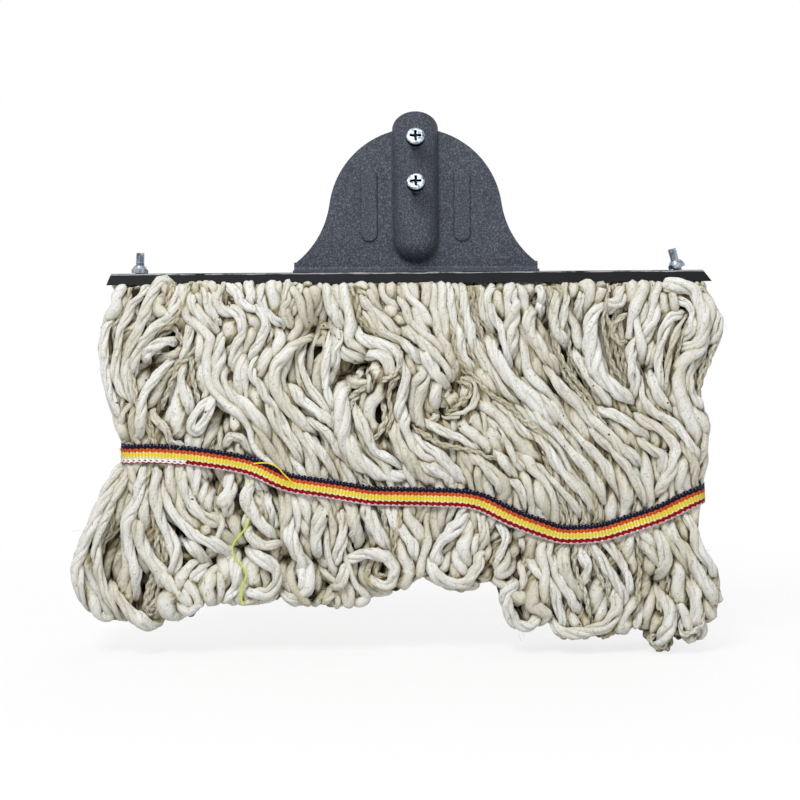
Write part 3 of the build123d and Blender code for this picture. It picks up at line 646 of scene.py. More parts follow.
# %% Strands on the face
FACE_STRANDS = [
    (2.9, 0, [(174, 284), (172, 276), (160, 288), (152, 302), (144, 317), (134, 338), (128, 357), (127, 374),
              (132, 396), (138, 412)]),
    (3.1, 1, [(184, 284), (181, 298), (174, 311), (163, 321), (150, 331), (141, 344), (133, 362), (130, 380)]),
    (2.6, 0, [(152, 284), (142, 296), (130, 307), (124, 322), (121, 340), (116, 358), (115, 376), (120, 391),
              (131, 404)]),
    (2.4, 0, [(112, 312), (106, 328), (103, 345), (106, 370), (109, 392), (118, 412), (126, 424)]),
    (3.2, 2, [(136, 368), (141, 360), (148, 351), (157, 344), (168, 340), (176, 342)]),
    (2.2, 0, [(170, 314), (174, 325), (180, 337), (186, 350)]),
    (3.0, 1, [(187, 312), (190, 330), (187, 347), (182, 364), (181, 380), (185, 394), (190, 408), (188, 420)]),
    (3.0, 2, [(172, 360), (158, 373), (149, 387), (141, 400), (138, 411), (141, 422), (134, 434), (124, 444)]),
    (2.7, 0, [(150, 410), (157, 421), (165, 428), (171, 437), (180, 448)]),
    (3.6, 1, [(188, 284), (190, 300), (198, 312), (209, 321), (220, 333)]),
    (2.8, 2, [(198, 284), (205, 296), (212, 312), (219, 328)]),
    (2.6, 2, [(214, 388), (212, 402), (206, 419), (197, 433), (189, 431), (191, 419), (201, 408), (210, 396)]),
    (1.6, 0, [(194, 342), (192, 358), (192, 374), (196, 392), (201, 410)]),
    (1.7, 0, [(206, 340), (196, 350), (186, 358), (178, 368), (172, 380), (166, 396), (160, 410)]),
    (3.4, 1, [(213, 284), (214, 297), (221, 308), (233, 311), (243, 314), (247, 325), (242, 341), (236, 356),
              (231, 372)]),
    (2.8, 2, [(229, 284), (230, 293), (237, 303), (251, 305), (263, 309), (268, 319), (263, 333), (255, 347),
              (248, 360)]),
    (3.4, 1, [(247, 284), (252, 291), (252, 302), (248, 312)]),
    (2.6, 1, [(265, 284), (260, 296), (262, 308), (271, 317), (280, 325)]),
    (4.1, 3, [(224, 330), (218, 344), (216, 360), (218, 376), (226, 390), (238, 400), (250, 410), (260, 422),
              (268, 436)]),
    (3.9, 3, [(308, 338), (297, 344), (284, 352), (275, 366), (273, 381), (278, 394), (287, 407), (298, 419),
              (310, 430)]),
    (3.0, 0, [(288, 284), (285, 299), (284, 312), (289, 324)]),
    (2.6, 0, [(301, 284), (299, 295), (293, 307), (290, 318)]),
    (2.6, 0, [(256, 352), (253, 368), (257, 383), (266, 397), (276, 412), (285, 428), (294, 443), (304, 458)]),
    (2.2, 1, [(264, 400), (271, 413), (280, 430), (291, 446), (299, 462)]),
    (2.6, 1, [(226, 446), (229, 437), (236, 434), (242, 440), (248, 452)]),
    (3.2, 1, [(290, 388), (302, 402), (316, 411), (330, 419), (340, 430)]),
    (2.4, 0, [(303, 346), (300, 362), (305, 378), (313, 392), (323, 406), (334, 418)]),
    (2.5, 0, [(304, 418), (317, 426), (329, 433), (338, 446), (348, 464)]),
    (2.5, 0, [(298, 428), (311, 441), (322, 453), (331, 468), (338, 482)]),
    (4.4, 2, [(327, 284), (330, 296), (335, 309), (341, 321), (343, 334)]),
    (2.5, 1, [(342, 318), (341, 335), (338, 350), (334, 364), (328, 380)]),
    (2.7, 0, [(332, 336), (329, 354), (326, 370), (325, 384), (329, 399), (336, 416)]),
    (3.7, 3, [(338, 338), (342, 352), (352, 356), (365, 352), (378, 350), (387, 358), (389, 373), (386, 390)]),
    (3.3, 1, [(347, 318), (355, 335), (368, 344), (383, 347), (397, 354), (405, 367), (405, 384), (400, 400),
              (398, 414), (404, 430)]),
    (3.1, 2, [(356, 296), (366, 311), (378, 322), (391, 331), (403, 342), (414, 351), (427, 360)]),
    (3.3, 1, [(360, 284), (361, 297), (368, 309), (379, 318), (392, 327), (404, 338)]),
    (2.2, 2, [(358, 384), (361, 370), (366, 362), (371, 368), (372, 382), (374, 398)]),
    (5.0, 3, [(384, 378), (366, 380), (352, 385), (343, 396), (340, 412), (340, 430), (345, 446), (355, 459),
              (367, 470), (381, 476), (396, 477), (406, 474)]),
    (2.9, 1, [(352, 400), (360, 421), (367, 434), (371, 446), (379, 454), (391, 459), (404, 470)]),
    (3.1, 1, [(398, 408), (402, 426), (410, 440), (421, 452), (434, 459), (446, 466)]),
    (4.2, 2, [(394, 412), (396, 432), (402, 450), (414, 464), (429, 473), (444, 481)]),
    (1.6, 2, [(398, 366), (391, 380), (388, 395), (391, 411), (391, 426), (384, 438)]),
    (1.7, 1, [(380, 396), (384, 408), (386, 420), (380, 432), (374, 442)]),
    (3.1, 0, [(447, 284), (447, 300), (449, 320), (456, 341), (464, 361), (473, 378)]),
    (2.9, 1, [(463, 284), (464, 305), (468, 325), (474, 345), (482, 362), (493, 379), (506, 393), (520, 407)]),
    (2.3, 0, [(479, 284), (481, 300), (486, 317), (494, 332)]),
    (2.4, 2, [(495, 284), (488, 293), (488, 305), (495, 319), (503, 333), (507, 350), (510, 366)]),
    (4.3, 1, [(507, 284), (508, 300), (509, 320), (510, 337), (514, 350)]),
    (4.0, 3, [(489, 340), (495, 356), (503, 371), (516, 386), (531, 399), (546, 413), (556, 424)]),
    (3.0, 2, [(404, 322), (413, 331), (426, 345), (439, 358), (451, 370), (462, 382)]),
    (3.2, 2, [(414, 352), (425, 357), (433, 368), (442, 380), (447, 393), (443, 407), (436, 419)]),
    (1.8, 2, [(450, 414), (460, 403), (469, 397), (474, 389), (469, 381), (460, 380)]),
    (2.0, 3, [(448, 418), (463, 414), (474, 406), (479, 393), (473, 383), (464, 378)]),
    (1.7, 2, [(416, 428), (430, 439), (445, 446), (460, 448), (475, 452), (491, 456), (507, 462)]),
    (2.6, 1, [(424, 423), (440, 430), (456, 436), (471, 441), (486, 452)]),
    (3.0, 1, [(414, 436), (425, 451), (440, 459), (453, 469), (462, 483)]),
    (3.9, 2, [(414, 460), (431, 471), (446, 480), (458, 490)]),
    (4.0, 3, [(474, 450), (481, 462), (490, 471), (500, 480), (507, 492), (508, 506)]),
    (2.9, 1, [(508, 474), (518, 484), (525, 497), (523, 510)]),
    (2.4, 0, [(479, 404), (490, 420), (501, 436), (512, 451), (524, 464), (538, 478)]),
    (3.0, 1, [(482, 396), (498, 411), (512, 425), (526, 438), (542, 453)]),
    (3.0, 1, [(540, 284), (542, 297), (540, 311)]),
    (3.9, 2, [(526, 300), (527, 314), (529, 329), (536, 343), (546, 357), (556, 371)]),
    (2.6, 0, [(562, 284), (556, 300), (553, 315), (557, 330), (565, 344)]),
    (2.4, 1, [(566, 284), (566, 302), (562, 320), (559, 336)]),
    (2.9, 1, [(588, 284), (581, 293), (578, 305), (581, 318)]),
    (4.5, 3, [(606, 304), (594, 308), (588, 320), (590, 335), (592, 350), (595, 366), (604, 381), (617, 393),
              (632, 402)]),
    (3.5, 3, [(630, 284), (627, 294), (617, 302), (604, 306)]),
    (3.3, 1, [(636, 338), (631, 352), (631, 366), (635, 380), (640, 394)]),
    (1.8, 2, [(634, 313), (622, 316), (613, 325), (613, 336), (621, 345), (628, 340)]),
    (3.0, 1, [(540, 362), (556, 382), (568, 395), (580, 408), (593, 423), (605, 436), (619, 446), (633, 453),
              (644, 468)]),
    (2.6, 0, [(578, 354), (588, 378), (600, 392), (614, 404)]),
    (2.9, 1, [(598, 408), (616, 416), (632, 427), (650, 437)]),
    (2.6, 0, [(524, 378), (545, 402), (560, 418), (575, 433), (590, 448), (603, 464), (613, 482), (623, 502)]),
    (3.0, 1, [(520, 394), (540, 418), (556, 435), (572, 452), (588, 469), (601, 488), (611, 508)]),
    (3.0, 1, [(516, 420), (540, 448), (556, 465), (572, 481), (587, 498), (597, 516)]),
    (2.4, 0, [(518, 448), (540, 470), (556, 485), (572, 501), (581, 518)]),
    (2.8, 1, [(584, 418), (605, 440), (619, 456), (631, 473), (641, 491), (645, 506)]),
    (3.0, 0, [(637, 284), (641, 298), (644, 311), (640, 326)]),
    (3.6, 1, [(652, 284), (655, 300), (654, 316), (648, 331), (641, 346)]),
    (4.1, 3, [(662, 284), (680, 287), (693, 293), (701, 303), (704, 318), (700, 335), (688, 347)]),
    (2.9, 1, [(664, 296), (678, 298), (690, 303), (696, 315), (694, 332), (686, 342)]),
    (2.6, 1, [(682, 312), (671, 316), (664, 327), (660, 342), (658, 359), (660, 376), (665, 394)]),
    (2.2, 1, [(688, 312), (677, 331), (671, 346), (668, 363), (666, 379), (669, 398)]),
    (3.0, 0, [(655, 336), (650, 354), (650, 375), (654, 392), (663, 403), (677, 411)]),
    (2.6, 1, [(640, 382), (642, 400), (651, 411), (666, 419), (681, 431), (691, 446), (697, 462)]),
    (3.4, 3, [(638, 416), (658, 428), (671, 438), (677, 452), (673, 468), (665, 481), (660, 494)]),
    (3.2, 1, [(630, 438), (650, 448), (662, 455), (667, 467), (660, 478)]),
    (3.0, 0, [(706, 306), (716, 316), (719, 328), (714, 340)]),
    (3.1, 1, [(690, 352), (688, 378), (690, 395), (700, 408)]),
    (2.7, 0, [(680, 424), (690, 448), (694, 466), (697, 484)]),
    (2.5, 0, [(699, 428), (703, 448), (700, 470)]),
    # Below the tape
    (3.4, 1, [(126, 462), (112, 484), (100, 506), (90, 527), (81, 548), (77, 568), (80, 590), (88, 608)]),
    (3.0, 0, [(133, 462), (122, 486), (110, 508), (100, 530), (94, 552), (99, 576), (108, 598), (117, 616)]),
    (3.6, 2, [(141, 462), (140, 488), (134, 511), (128, 530), (129, 552), (136, 574), (134, 596)]),
    (4.2, 3, [(132, 505), (138, 534), (150, 558), (163, 573), (178, 588), (191, 604), (194, 614)]),
    (3.8, 2, [(151, 464), (154, 494), (158, 515), (169, 535), (176, 551), (175, 567), (166, 584)]),
    (3.8, 3, [(160, 480), (169, 510), (186, 527), (204, 535), (219, 545), (231, 559), (238, 576), (234, 592),
              (222, 601)]),
    (4.0, 2, [(181, 465), (184, 486), (192, 506), (207, 518), (221, 526)]),
    (3.4, 1, [(200, 470), (204, 491), (207, 504), (216, 516)]),
    (4.4, 2, [(238, 472), (229, 494), (223, 508), (222, 519)]),
    (3.4, 1, [(242, 474), (245, 494), (251, 512), (262, 526), (273, 536)]),
    (2.6, 0, [(256, 480), (265, 497), (272, 513), (274, 528)]),
    (3.0, 3, [(245, 518), (250, 537), (262, 546), (279, 544)]),
    (3.6, 2, [(246, 552), (262, 558), (276, 567), (279, 582), (267, 595), (250, 592)]),
    (3.2, 1, [(188, 545), (200, 552), (204, 566), (194, 578), (184, 590)]),
    (3.6, 1, [(112, 590), (124, 606), (140, 622), (150, 628)]),
    (4.2, 3, [(287, 514), (291, 540), (300, 558), (307, 576), (305, 594), (296, 600), (287, 596)]),
    (4.6, 2, [(324, 506), (318, 522), (314, 540), (319, 552), (328, 562)]),
    (3.4, 1, [(344, 511), (343, 534), (338, 550), (336, 566)]),
    (4.0, 1, [(346, 506), (354, 522), (356, 540)]),
    (3.8, 1, [(363, 505), (373, 525), (384, 543), (392, 558)]),
    (3.8, 3, [(347, 562), (366, 552), (388, 556), (400, 571), (393, 585), (379, 586), (369, 578)]),
    (3.4, 1, [(390, 506), (400, 528), (414, 550), (416, 566)]),
    (3.8, 2, [(466, 506), (461, 525), (444, 538), (434, 553), (438, 569)]),
    (3.4, 3, [(427, 556), (434, 573), (448, 583), (466, 584), (479, 570), (480, 552)]),
    (3.0, 1, [(483, 512), (484, 535), (479, 554)]),
    (3.6, 2, [(344, 566), (342, 582), (334, 594), (324, 602)]),
    (3.6, 2, [(527, 540), (534, 562), (546, 583), (557, 603), (563, 621), (560, 634)]),
    (3.2, 1, [(544, 546), (558, 576), (571, 597), (576, 612)]),
    (3.6, 3, [(548, 618), (560, 633), (588, 632), (608, 626), (619, 609), (616, 590)]),
    (3.6, 2, [(566, 546), (560, 566), (571, 583), (581, 598)]),
    (3.0, 1, [(580, 546), (588, 567), (582, 588)]),
    (3.0, 1, [(588, 542), (608, 568), (619, 588), (624, 608)]),
    (2.8, 0, [(604, 538), (621, 561), (630, 580), (630, 600)]),
    (4.2, 3, [(660, 530), (666, 556), (663, 577), (667, 598), (671, 617), (663, 636), (659, 648)]),
    (3.8, 2, [(671, 522), (684, 547), (696, 568), (708, 588), (715, 603)]),
    (3.4, 1, [(684, 514), (702, 539), (713, 559), (718, 577)]),
    (3.8, 1, [(686, 575), (692, 598), (696, 620), (699, 640)]),
    (3.6, 2, [(512, 586), (508, 608), (514, 624), (530, 628), (542, 614)]),
    (2.6, 0, [(522, 562), (525, 583), (519, 602)]),
    (2.6, 0, [(496, 520), (507, 538), (500, 556), (494, 570)]),
]
print("face strands", len(FACE_STRANDS))

# %% [markdown]
# Lines that were read from a photograph have corners and uneven steps. Three helpers mend that: one
# averages neighbours, one spaces points evenly along a line and rounds its corners, and one makes smooth
# random waves, from one seeded source, that keep the strands from running in step.

# %% Smooth lines
rng = np.random.default_rng(11)


def smoothed(values, passes):
    """Values averaged with their neighbours along the last axis but one, with both ends held."""
    values = values.copy()
    for _ in range(passes):
        values[..., 1:-1, :] = values[..., 1:-1, :] * 0.5 + (values[..., :-2, :] + values[..., 2:, :]) * 0.25
    return values


def even_line(points, count, passes):
    """Evenly spaced points along a line through given ones, with its corners rounded."""
    points = np.array(points, float)
    for turn in (0, 1):
        along = np.concatenate([[0], np.cumsum(np.linalg.norm(np.diff(points, axis=0), axis=1))])
        at = np.linspace(0, along[-1], count)
        points = np.stack([np.interp(at, along, points[:, k]) for k in range(points.shape[1])], axis=1)
        if turn == 0:
            points = smoothed(points, passes)
    return points


def smooth_waves(shape, passes):
    """Seeded random waves of unit size along the last axis but one."""
    waves = smoothed(rng.normal(size=shape), passes)
    return waves / waves.std()


print("a rounded corner", even_line([(0, 0), (1, 0), (1, 1)], 5, 2).round(2).tolist())

# %% [markdown]
# A lock's route starts at the clamp bar, meets the tape and ends at the foot of its lobe. Where no pixels say
# how it falls below the tape, it falls plainly. The rear isn't seen in the photograph, so it gets the same
# locks turned round, with plain falls that are a little shorter.

# %% Routes in millimetres
LIP_LEVEL = -83.0
CLAMP_X = -3.9
MIDDLE_PIXEL = AXIS_PIXEL + CLAMP_X * PIXELS_PER_MM
LOOP_REACH = 6.0
REAR_SHORTER = 6.0
# A plain fall: shares of the way across and down at two points, and how far they sway
FALL_ACROSS, FALL_DOWN, FALL_SWAY = (0.4, 0.9), (0.35, 0.7), 5


def lobe_of(tape_px):
    """Number of the lobe that a lock joins below the tape."""
    return int(np.clip(np.searchsorted(LOBES_AT_TAPE, tape_px) - 1, 0, len(LOBES_AT_TAPE) - 2))


def foot_level(x):
    """Height of the lower edge of the yarn at a place along the bar."""
    across, level = from_photo(LOWER_EDGE[:, 0], LOWER_EDGE[:, 1])
    return np.interp(x, across, level)


def plain_fall(tape_px):
    """Points from the tape to the foot, for a lock that no route describes there."""
    foot_x = from_photo(np.interp(tape_px, LOBES_AT_TAPE, LOBES_AT_FOOT), FOOT_ROW)[0]
    tape_x = from_photo(tape_px, TAPE_ROW)[0]
    tape_z = tape_level(tape_x)
    foot_z = foot_level(foot_x) + LOOP_REACH
    fall = []
    for across, down, sway in zip(FALL_ACROSS, FALL_DOWN, rng.uniform(-FALL_SWAY, FALL_SWAY, 2)):
        fall.append((tape_x + (foot_x - tape_x) * across + sway, tape_z + (foot_z - tape_z) * down))
    return fall + [(foot_x, foot_z)]


def front_route(tape_px, depth, upper, fall):
    """A lock's route on the front of the mop, from the bar to its foot, in millimetres."""
    tape_x = from_photo(tape_px, TAPE_ROW, depth)[0]
    return [from_photo(*pixel, depth) for pixel in upper] + [(tape_x, tape_level(tape_x))] + fall


def rear_route(tape_px, upper):
    """The same lock turned round to the rear, where the tape hangs at another height."""
    front_x = from_photo(tape_px, TAPE_ROW)[0]
    tape_x = 2 * CLAMP_X - front_x
    squeeze = (tape_level(tape_x) - LIP_LEVEL) / (tape_level(front_x) - LIP_LEVEL)
    points = []
    for pixel in upper:
        x, z = from_photo(*pixel)
        points.append((2 * CLAMP_X - x, LIP_LEVEL + (z - LIP_LEVEL) * squeeze))
    fall = plain_fall(2 * MIDDLE_PIXEL - tape_px)
    fall[-1] = (fall[-1][0], fall[-1][1] + REAR_SHORTER)
    return points + [(tape_x, tape_level(tape_x))] + fall


print("middle of the clamp at pixel", round(MIDDLE_PIXEL, 1))

# %% [markdown]
# Near the bar a lock bends tightly: down inside the clamp, under its lip and out over its own shoulder. These
# bends follow the clamp's section, so they are given in millimetres, as heights and distances out from the
# middle. A lock whose second pixel lies above the lip goes up in front of it before it falls.

# %% Heads of the locks
LEG_POINTS, HEAD_POINTS = 116, 13
HEAD_EASE, BODY_EASE = 1, 7
INSIDE_CLAMP = [(-80.3, 9.6), (-83.6, 10.4), (-86.9, 13.4)]
CLIMB_START = (-87.5, 17.0)
LIP_OUT, UNDER_LIP = 15.4, -86.8
SHOULDER_LEVEL, SHOULDER_END = -86.0, -89.0
SHOULDER_OUT, SHOULDER_RISE, SHOULDER_BULGE = 20.6, 3.0, 0.8
SHOULDER_LIFT = (-1.6, 1.8)
HEAD_LEAN, LEAN_SHARES = 4, (0.1, 0.3, 0.7)
# Shoulders stand higher at the left end of the bar
TALL_ACROSS, TALL_LIFT = (-62.0, -45.0), (2.6, 0.5)
# Drop below the lip over which a lock comes from its shoulder to its own depth
SHOULDER_DROP = (7, 26)


def climbs_lip(route):
    """Whether a lock goes up in front of the lip before it falls."""
    return route[1][1] > LIP_LEVEL


def root_points(route, depth):
    """Points across, up and out, from inside the clamp to the shoulder of a lock."""
    bar_x, lean = route[0][0], np.clip(route[1][0] - route[0][0], -HEAD_LEAN, HEAD_LEAN)
    inside = [(bar_x, level, out) for level, out in INSIDE_CLAMP]
    if climbs_lip(route):
        return inside + [(bar_x, *CLIMB_START)]
    shoulder = min(SHOULDER_OUT, depth + SHOULDER_RISE)
    lift = rng.uniform(*SHOULDER_LIFT) + np.interp(bar_x, TALL_ACROSS, TALL_LIFT)
    return inside + [
        (bar_x + LEAN_SHARES[0] * lean, UNDER_LIP, (LIP_OUT + shoulder) / 2),
        (bar_x + LEAN_SHARES[1] * lean, SHOULDER_LEVEL + lift, shoulder),
        (bar_x + LEAN_SHARES[2] * lean, SHOULDER_END + lift / 2, shoulder + SHOULDER_BULGE),
    ]


def lock_line(route, depth):
    """Even points across, up and out along a lock, with a finely bent head and a smooth body."""
    head = root_points(route, depth)
    body = [head[-1]]
    for x, z in route[1:]:
        out = depth
        if not climbs_lip(route):
            out = np.interp(LIP_LEVEL - z, SHOULDER_DROP, [head[-1][2], depth])
        body.append((x, z, out))
    upper = even_line(head, HEAD_POINTS, HEAD_EASE)
    return np.concatenate([upper, even_line(body, LEG_POINTS - HEAD_POINTS + 1, BODY_EASE)[1:]])


print("points along a leg", LEG_POINTS, "of them in its head", HEAD_POINTS)

# %% [markdown]
# Each lock is a bundle whose strands wind round its route, more tightly below the tape, where the real locks
# have twisted up like rope. At its foot a strand turns round and climbs back as its neighbour, because this
# yarn ends in loops. Behind the locks hang plain inner loops that fill the pile.

# %% Laying the loops
FACINGS = {"front": -1, "rear": 1}
STRANDS = 4
TURN_POINTS = 9
SETTLE_POINTS = 8
ROUTE_WAVE, ROUTE_EASE = 1.3, 22
WINDS, WINDS_BELOW, WIND_DROP = (0.5, 1.1), (0.3, 0.8), 60.0
STRAND_EASE, UNEVEN = 40, 0.15
WAVE_ACROSS, WAVE_OUT, FLATNESS = 0.8, 0.7, 0.8
# In the head the strands lie side by side over this half width, and part into two layers
ROW_HALF, LAYER, LAYER_START, LAYER_RUN = 4.6, 1.4, 5, 4
BEND_REACH = (3.2, 4.5)
LOCK_BASE, DEPTH_SHARE = 12.0, 0.7
LOCK_SPREAD = (3.2, 3.8)
INNER_LOOPS, INNER_SPREAD, INNER_SWAY = 62, 3.6, 12
INNER_AT_BAR, INNER_AT_TAPE, INNER_ROWS = (120, 698), (126, 700), (330, 400)
INNER_DEPTHS = (10.0, 5.0)


def lock_legs(route, strands, depth, facing, spread):
    """Centre lines of a lock's strands, as an array of strands, points and coordinates."""
    line = lock_line(route, depth)
    steps = np.arange(LEG_POINTS)
    settle = np.clip((steps - HEAD_POINTS) / SETTLE_POINTS, 0, 1)
    line[:, :2] += smooth_waves((1, LEG_POINTS, 2), ROUTE_EASE)[0] * ROUTE_WAVE * settle[:, None]
    along = np.gradient(line[:, :2], axis=0)
    along /= np.linalg.norm(along, axis=1)[:, None]
    across = np.stack([-along[:, 1], along[:, 0]], axis=1)
    across = across * settle[:, None] + np.array([1.0, 0.0]) * (1 - settle[:, None])
    below = np.clip((tape_level(line[:, 0]) - line[:, 1]) / WIND_DROP, 0, 1)
    wind = rng.choice([-1, 1]) * 2 * pi
    spin = wind * (rng.uniform(*WINDS) * np.linspace(0, 1, LEG_POINTS) + rng.uniform(*WINDS_BELOW) * below)
    start = rng.uniform(0, 2 * pi)
    jitter = smooth_waves((strands, LEG_POINTS, 2), STRAND_EASE)
    legs = []
    for index in range(strands):
        angle = start + 2 * pi * (index + rng.uniform(-UNEVEN, UNEVEN)) / strands + spin
        wide = spread * np.cos(angle) + WAVE_ACROSS * jitter[index, :, 0]
        proud = FLATNESS * spread * np.sin(angle) + WAVE_OUT * jitter[index, :, 1]
        row = ROW_HALF * ((index + 0.5) / strands * 2 - 1)
        layer = (LAYER if index % 2 else -LAYER) * np.clip((steps - LAYER_START) / LAYER_RUN, 0, 1)
        wide = wide * settle + row * (1 - settle)
        proud = proud * settle + layer * (1 - settle)
        leg = np.stack([line[:, 0] + across[:, 0] * wide, facing * (line[:, 2] + proud),
                        line[:, 1] + across[:, 1] * wide], axis=1)
        legs.append(leg)
    return np.array(legs)


def loop(first, second):
    """One loop of yarn: down the first leg, round a bend at the foot, and up the second leg."""
    middle = (first[-1] + second[-1]) / 2
    arm = (first[-1] - second[-1]) / 2
    reach = np.clip(np.linalg.norm(arm), *BEND_REACH)
    heading = (first[-1] - first[-6]) + (second[-1] - second[-6])
    heading /= np.linalg.norm(heading)
    turn = np.linspace(0, pi, TURN_POINTS + 2)[1:-1, None]
    bend = middle + arm * np.cos(turn) + heading * reach * np.sin(turn)
    return np.concatenate([first, bend, second[::-1]])


def side_loops(facing, inner_count):
    """All loops on one side of the mop, the lobe that each one hangs in, and whether it climbs the lip."""
    loops, lobes, climbs = [], [], []
    for tape_px, depth, upper, lower in ROUTES:
        depth = LOCK_BASE + (depth - LOCK_BASE) * DEPTH_SHARE
        if facing < 0:
            fall = [from_photo(*pixel, depth) for pixel in lower]
            route, lobe = front_route(tape_px, depth, upper, fall), lobe_of(tape_px)
        else:
            route, lobe = rear_route(tape_px, upper), lobe_of(2 * MIDDLE_PIXEL - tape_px)
        legs = lock_legs(route, STRANDS, depth, facing, rng.uniform(*LOCK_SPREAD))
        for pair in range(STRANDS // 2):
            loops.append(loop(legs[2 * pair], legs[2 * pair + 1]))
            lobes.append(lobe)
            climbs.append(facing < 0 and climbs_lip(route))
    for index in range(inner_count):
        share = (index + 0.5) / inner_count
        bar_px, tape_px = np.interp(share, [0, 1], INNER_AT_BAR), np.interp(share, [0, 1], INNER_AT_TAPE)
        swayed = (bar_px + tape_px) / 2 + rng.uniform(-INNER_SWAY, INNER_SWAY)
        upper = [(bar_px, BAR_ROW), (bar_px, INNER_ROWS[0]), (swayed, INNER_ROWS[1])]
        depth = INNER_DEPTHS[index % 2]
        route = front_route(tape_px, depth, upper, plain_fall(tape_px))
        legs = lock_legs(route, 2, depth, facing, INNER_SPREAD)
        loops.append(loop(legs[0], legs[1]))
        lobes.append(lobe_of(tape_px))
        climbs.append(False)
    return np.array(loops), np.array(lobes), np.array(climbs)


laid = {}
for name, facing in FACINGS.items():
    laid[name] = side_loops(facing, INNER_LOOPS)
    print(name, "loops", laid[name][0].shape)

# %% [markdown]
# The strands of the face are laid the same way, but one by one, and each free end sinks into the pile and runs
# on there. They get as many points as a loop has, so that they can be pushed about together with the loops.

# %% Laying the face strands
FACE_OUT, FACE_SINK, FACE_RISE, ROOT_BACK = 23.6, 0.5, 0.6, 2.5
DIVE, DIVE_RUN = 9.0, 6.0
ROUGH_POINTS, ROUGH_EASE, FACE_EASE = 81, 11, 4
LOOP_POINTS = 2 * LEG_POINTS + TURN_POINTS
TAPE_TOP_ROW = 455


def sunk_end(before, last):
    """Two points where a strand sinks into the pile and runs on there."""
    before, last = np.array(before), np.array(last)
    ahead = (last - before) / np.linalg.norm(last - before)
    return [tuple(last - (0, 0, 0.5 * DIVE)), tuple(last + DIVE_RUN * ahead - (0, 0, 1.5 * DIVE))]


def face_line(radius, rise, pixels):
    """A strand's points across, up and out, and whether it climbs over the lip."""
    out = FACE_OUT - FACE_SINK * radius + FACE_RISE * rise
    line = [(*from_photo(*pixel, out), out) for pixel in pixels]
    at_bar = pixels[0][1] <= BAR_ROW
    tail = sunk_end(line[-2], line[-1])
    if at_bar:
        line = root_points([point[:2] for point in line], out - ROOT_BACK) + line[1:-1] + tail
    else:
        line = sunk_end(line[1], line[0])[::-1] + line[1:-1] + tail
    climbing = at_bar and from_photo(*pixels[1], out)[1] > LIP_LEVEL
    return even_line(even_line(line, ROUGH_POINTS, ROUGH_EASE), LOOP_POINTS, FACE_EASE), climbing


face_loops, face_climbs, face_lobes = [], [], []
for radius, rise, pixels in FACE_STRANDS:
    line, climbing = face_line(radius, rise, pixels)
    level = np.maximum(line[:, 1], foot_level(line[:, 0]) + radius)
    face_loops.append(np.stack([line[:, 0], -line[:, 2], level], axis=1))
    face_climbs.append(climbing)
    lobe_pixel = pixels[0] if pixels[0][1] > TAPE_TOP_ROW else pixels[-1]
    face_lobes.append(lobe_of(lobe_pixel[0]))
face_lobes = np.array(face_lobes)
print("face strands that climb the lip", sum(face_climbs))

# %% [markdown]
# Laid like this, strands run through each other, so they have to be pushed apart. First all pairs of points
# that lie near each other are found: the points are sorted into the cells of a grid, and each cell is compared
# with itself and with half of its neighbours.

# %% Near pairs


def near_pairs(points, reach):
    """Index pairs of all points nearer to each other than the reach, found on a grid."""
    cells = np.floor(points / reach).astype(np.int64)
    cells -= cells.min(axis=0) - 1
    size = cells.max(axis=0) + 2
    keys = (cells[:, 0] * size[1] + cells[:, 1]) * size[2] + cells[:, 2]
    order = np.argsort(keys, kind="stable")
    ranked = keys[order]
    firsts, seconds = [], []
    steps = [(a, b, c) for a in (0, 1) for b in (-1, 0, 1) for c in (-1, 0, 1)]
    for step in [s for s in steps if s >= (0, 0, 0)]:
        other = keys + (step[0] * size[1] + step[1]) * size[2] + step[2]
        begin = np.searchsorted(ranked, other, "left")
        count = np.searchsorted(ranked, other, "right") - begin
        first = np.repeat(np.arange(len(points)), count)
        slot = np.arange(count.sum()) - np.repeat(np.cumsum(count) - count, count)
        second = order[np.repeat(begin, count) + slot]
        if step == (0, 0, 0):
            keep = first < second
            first, second = first[keep], second[keep]
        near = ((points[first] - points[second]) ** 2).sum(axis=1) < reach**2
        firsts.append(first[near])
        seconds.append(second[near])
    return np.concatenate(firsts), np.concatenate(seconds)


sample = np.array([(0.0, 0.0, 0.0), (1.0, 0.0, 0.0), (5.0, 0.0, 0.0)])
print("near pairs of three points", [pair.tolist() for pair in near_pairs(sample, 2.0)])

# %% [markdown]
# The pile stays inside the outline of the photograph, below the clamp's lip, under the tape and behind the
# loose thread. Where the photograph shows a dark hollow, the pile is pressed back.

# %% Limits of the pile
PILE_FRONT, PILE_BACK = 27.5, 1.2
LIP_INSIDE, LIP_OUTSIDE = 13.8, 16.6
LIP_GAP, LIP_SHARE = 0.2, 0.9
SHOULDER_ACROSS, SHOULDER_TOPS, SHOULDER_SHARE = (-70.0, -50.0), (-80.4, -82.0), 0.95
TAPE_MARGIN, END_GAP = 2.5, 0.8
# Room behind the tape for the distance from its ends, and how far from the tape it widens
END_STEPS, END_ROOMS = (0, 2.5, 6, 9), (14.0, 18.0, 21.0, TAPE_FACE - 0.3)
TAPE_HOLD, TAPE_FREE = 6, 10
THREAD_PIXEL = (240, 524)
THREAD_WIDE, THREAD_GAP, THREAD_BACK = 1, 5.0, 0.5
HOLLOW_ROOM, HOLLOW_EDGE = 9.0, 1.6
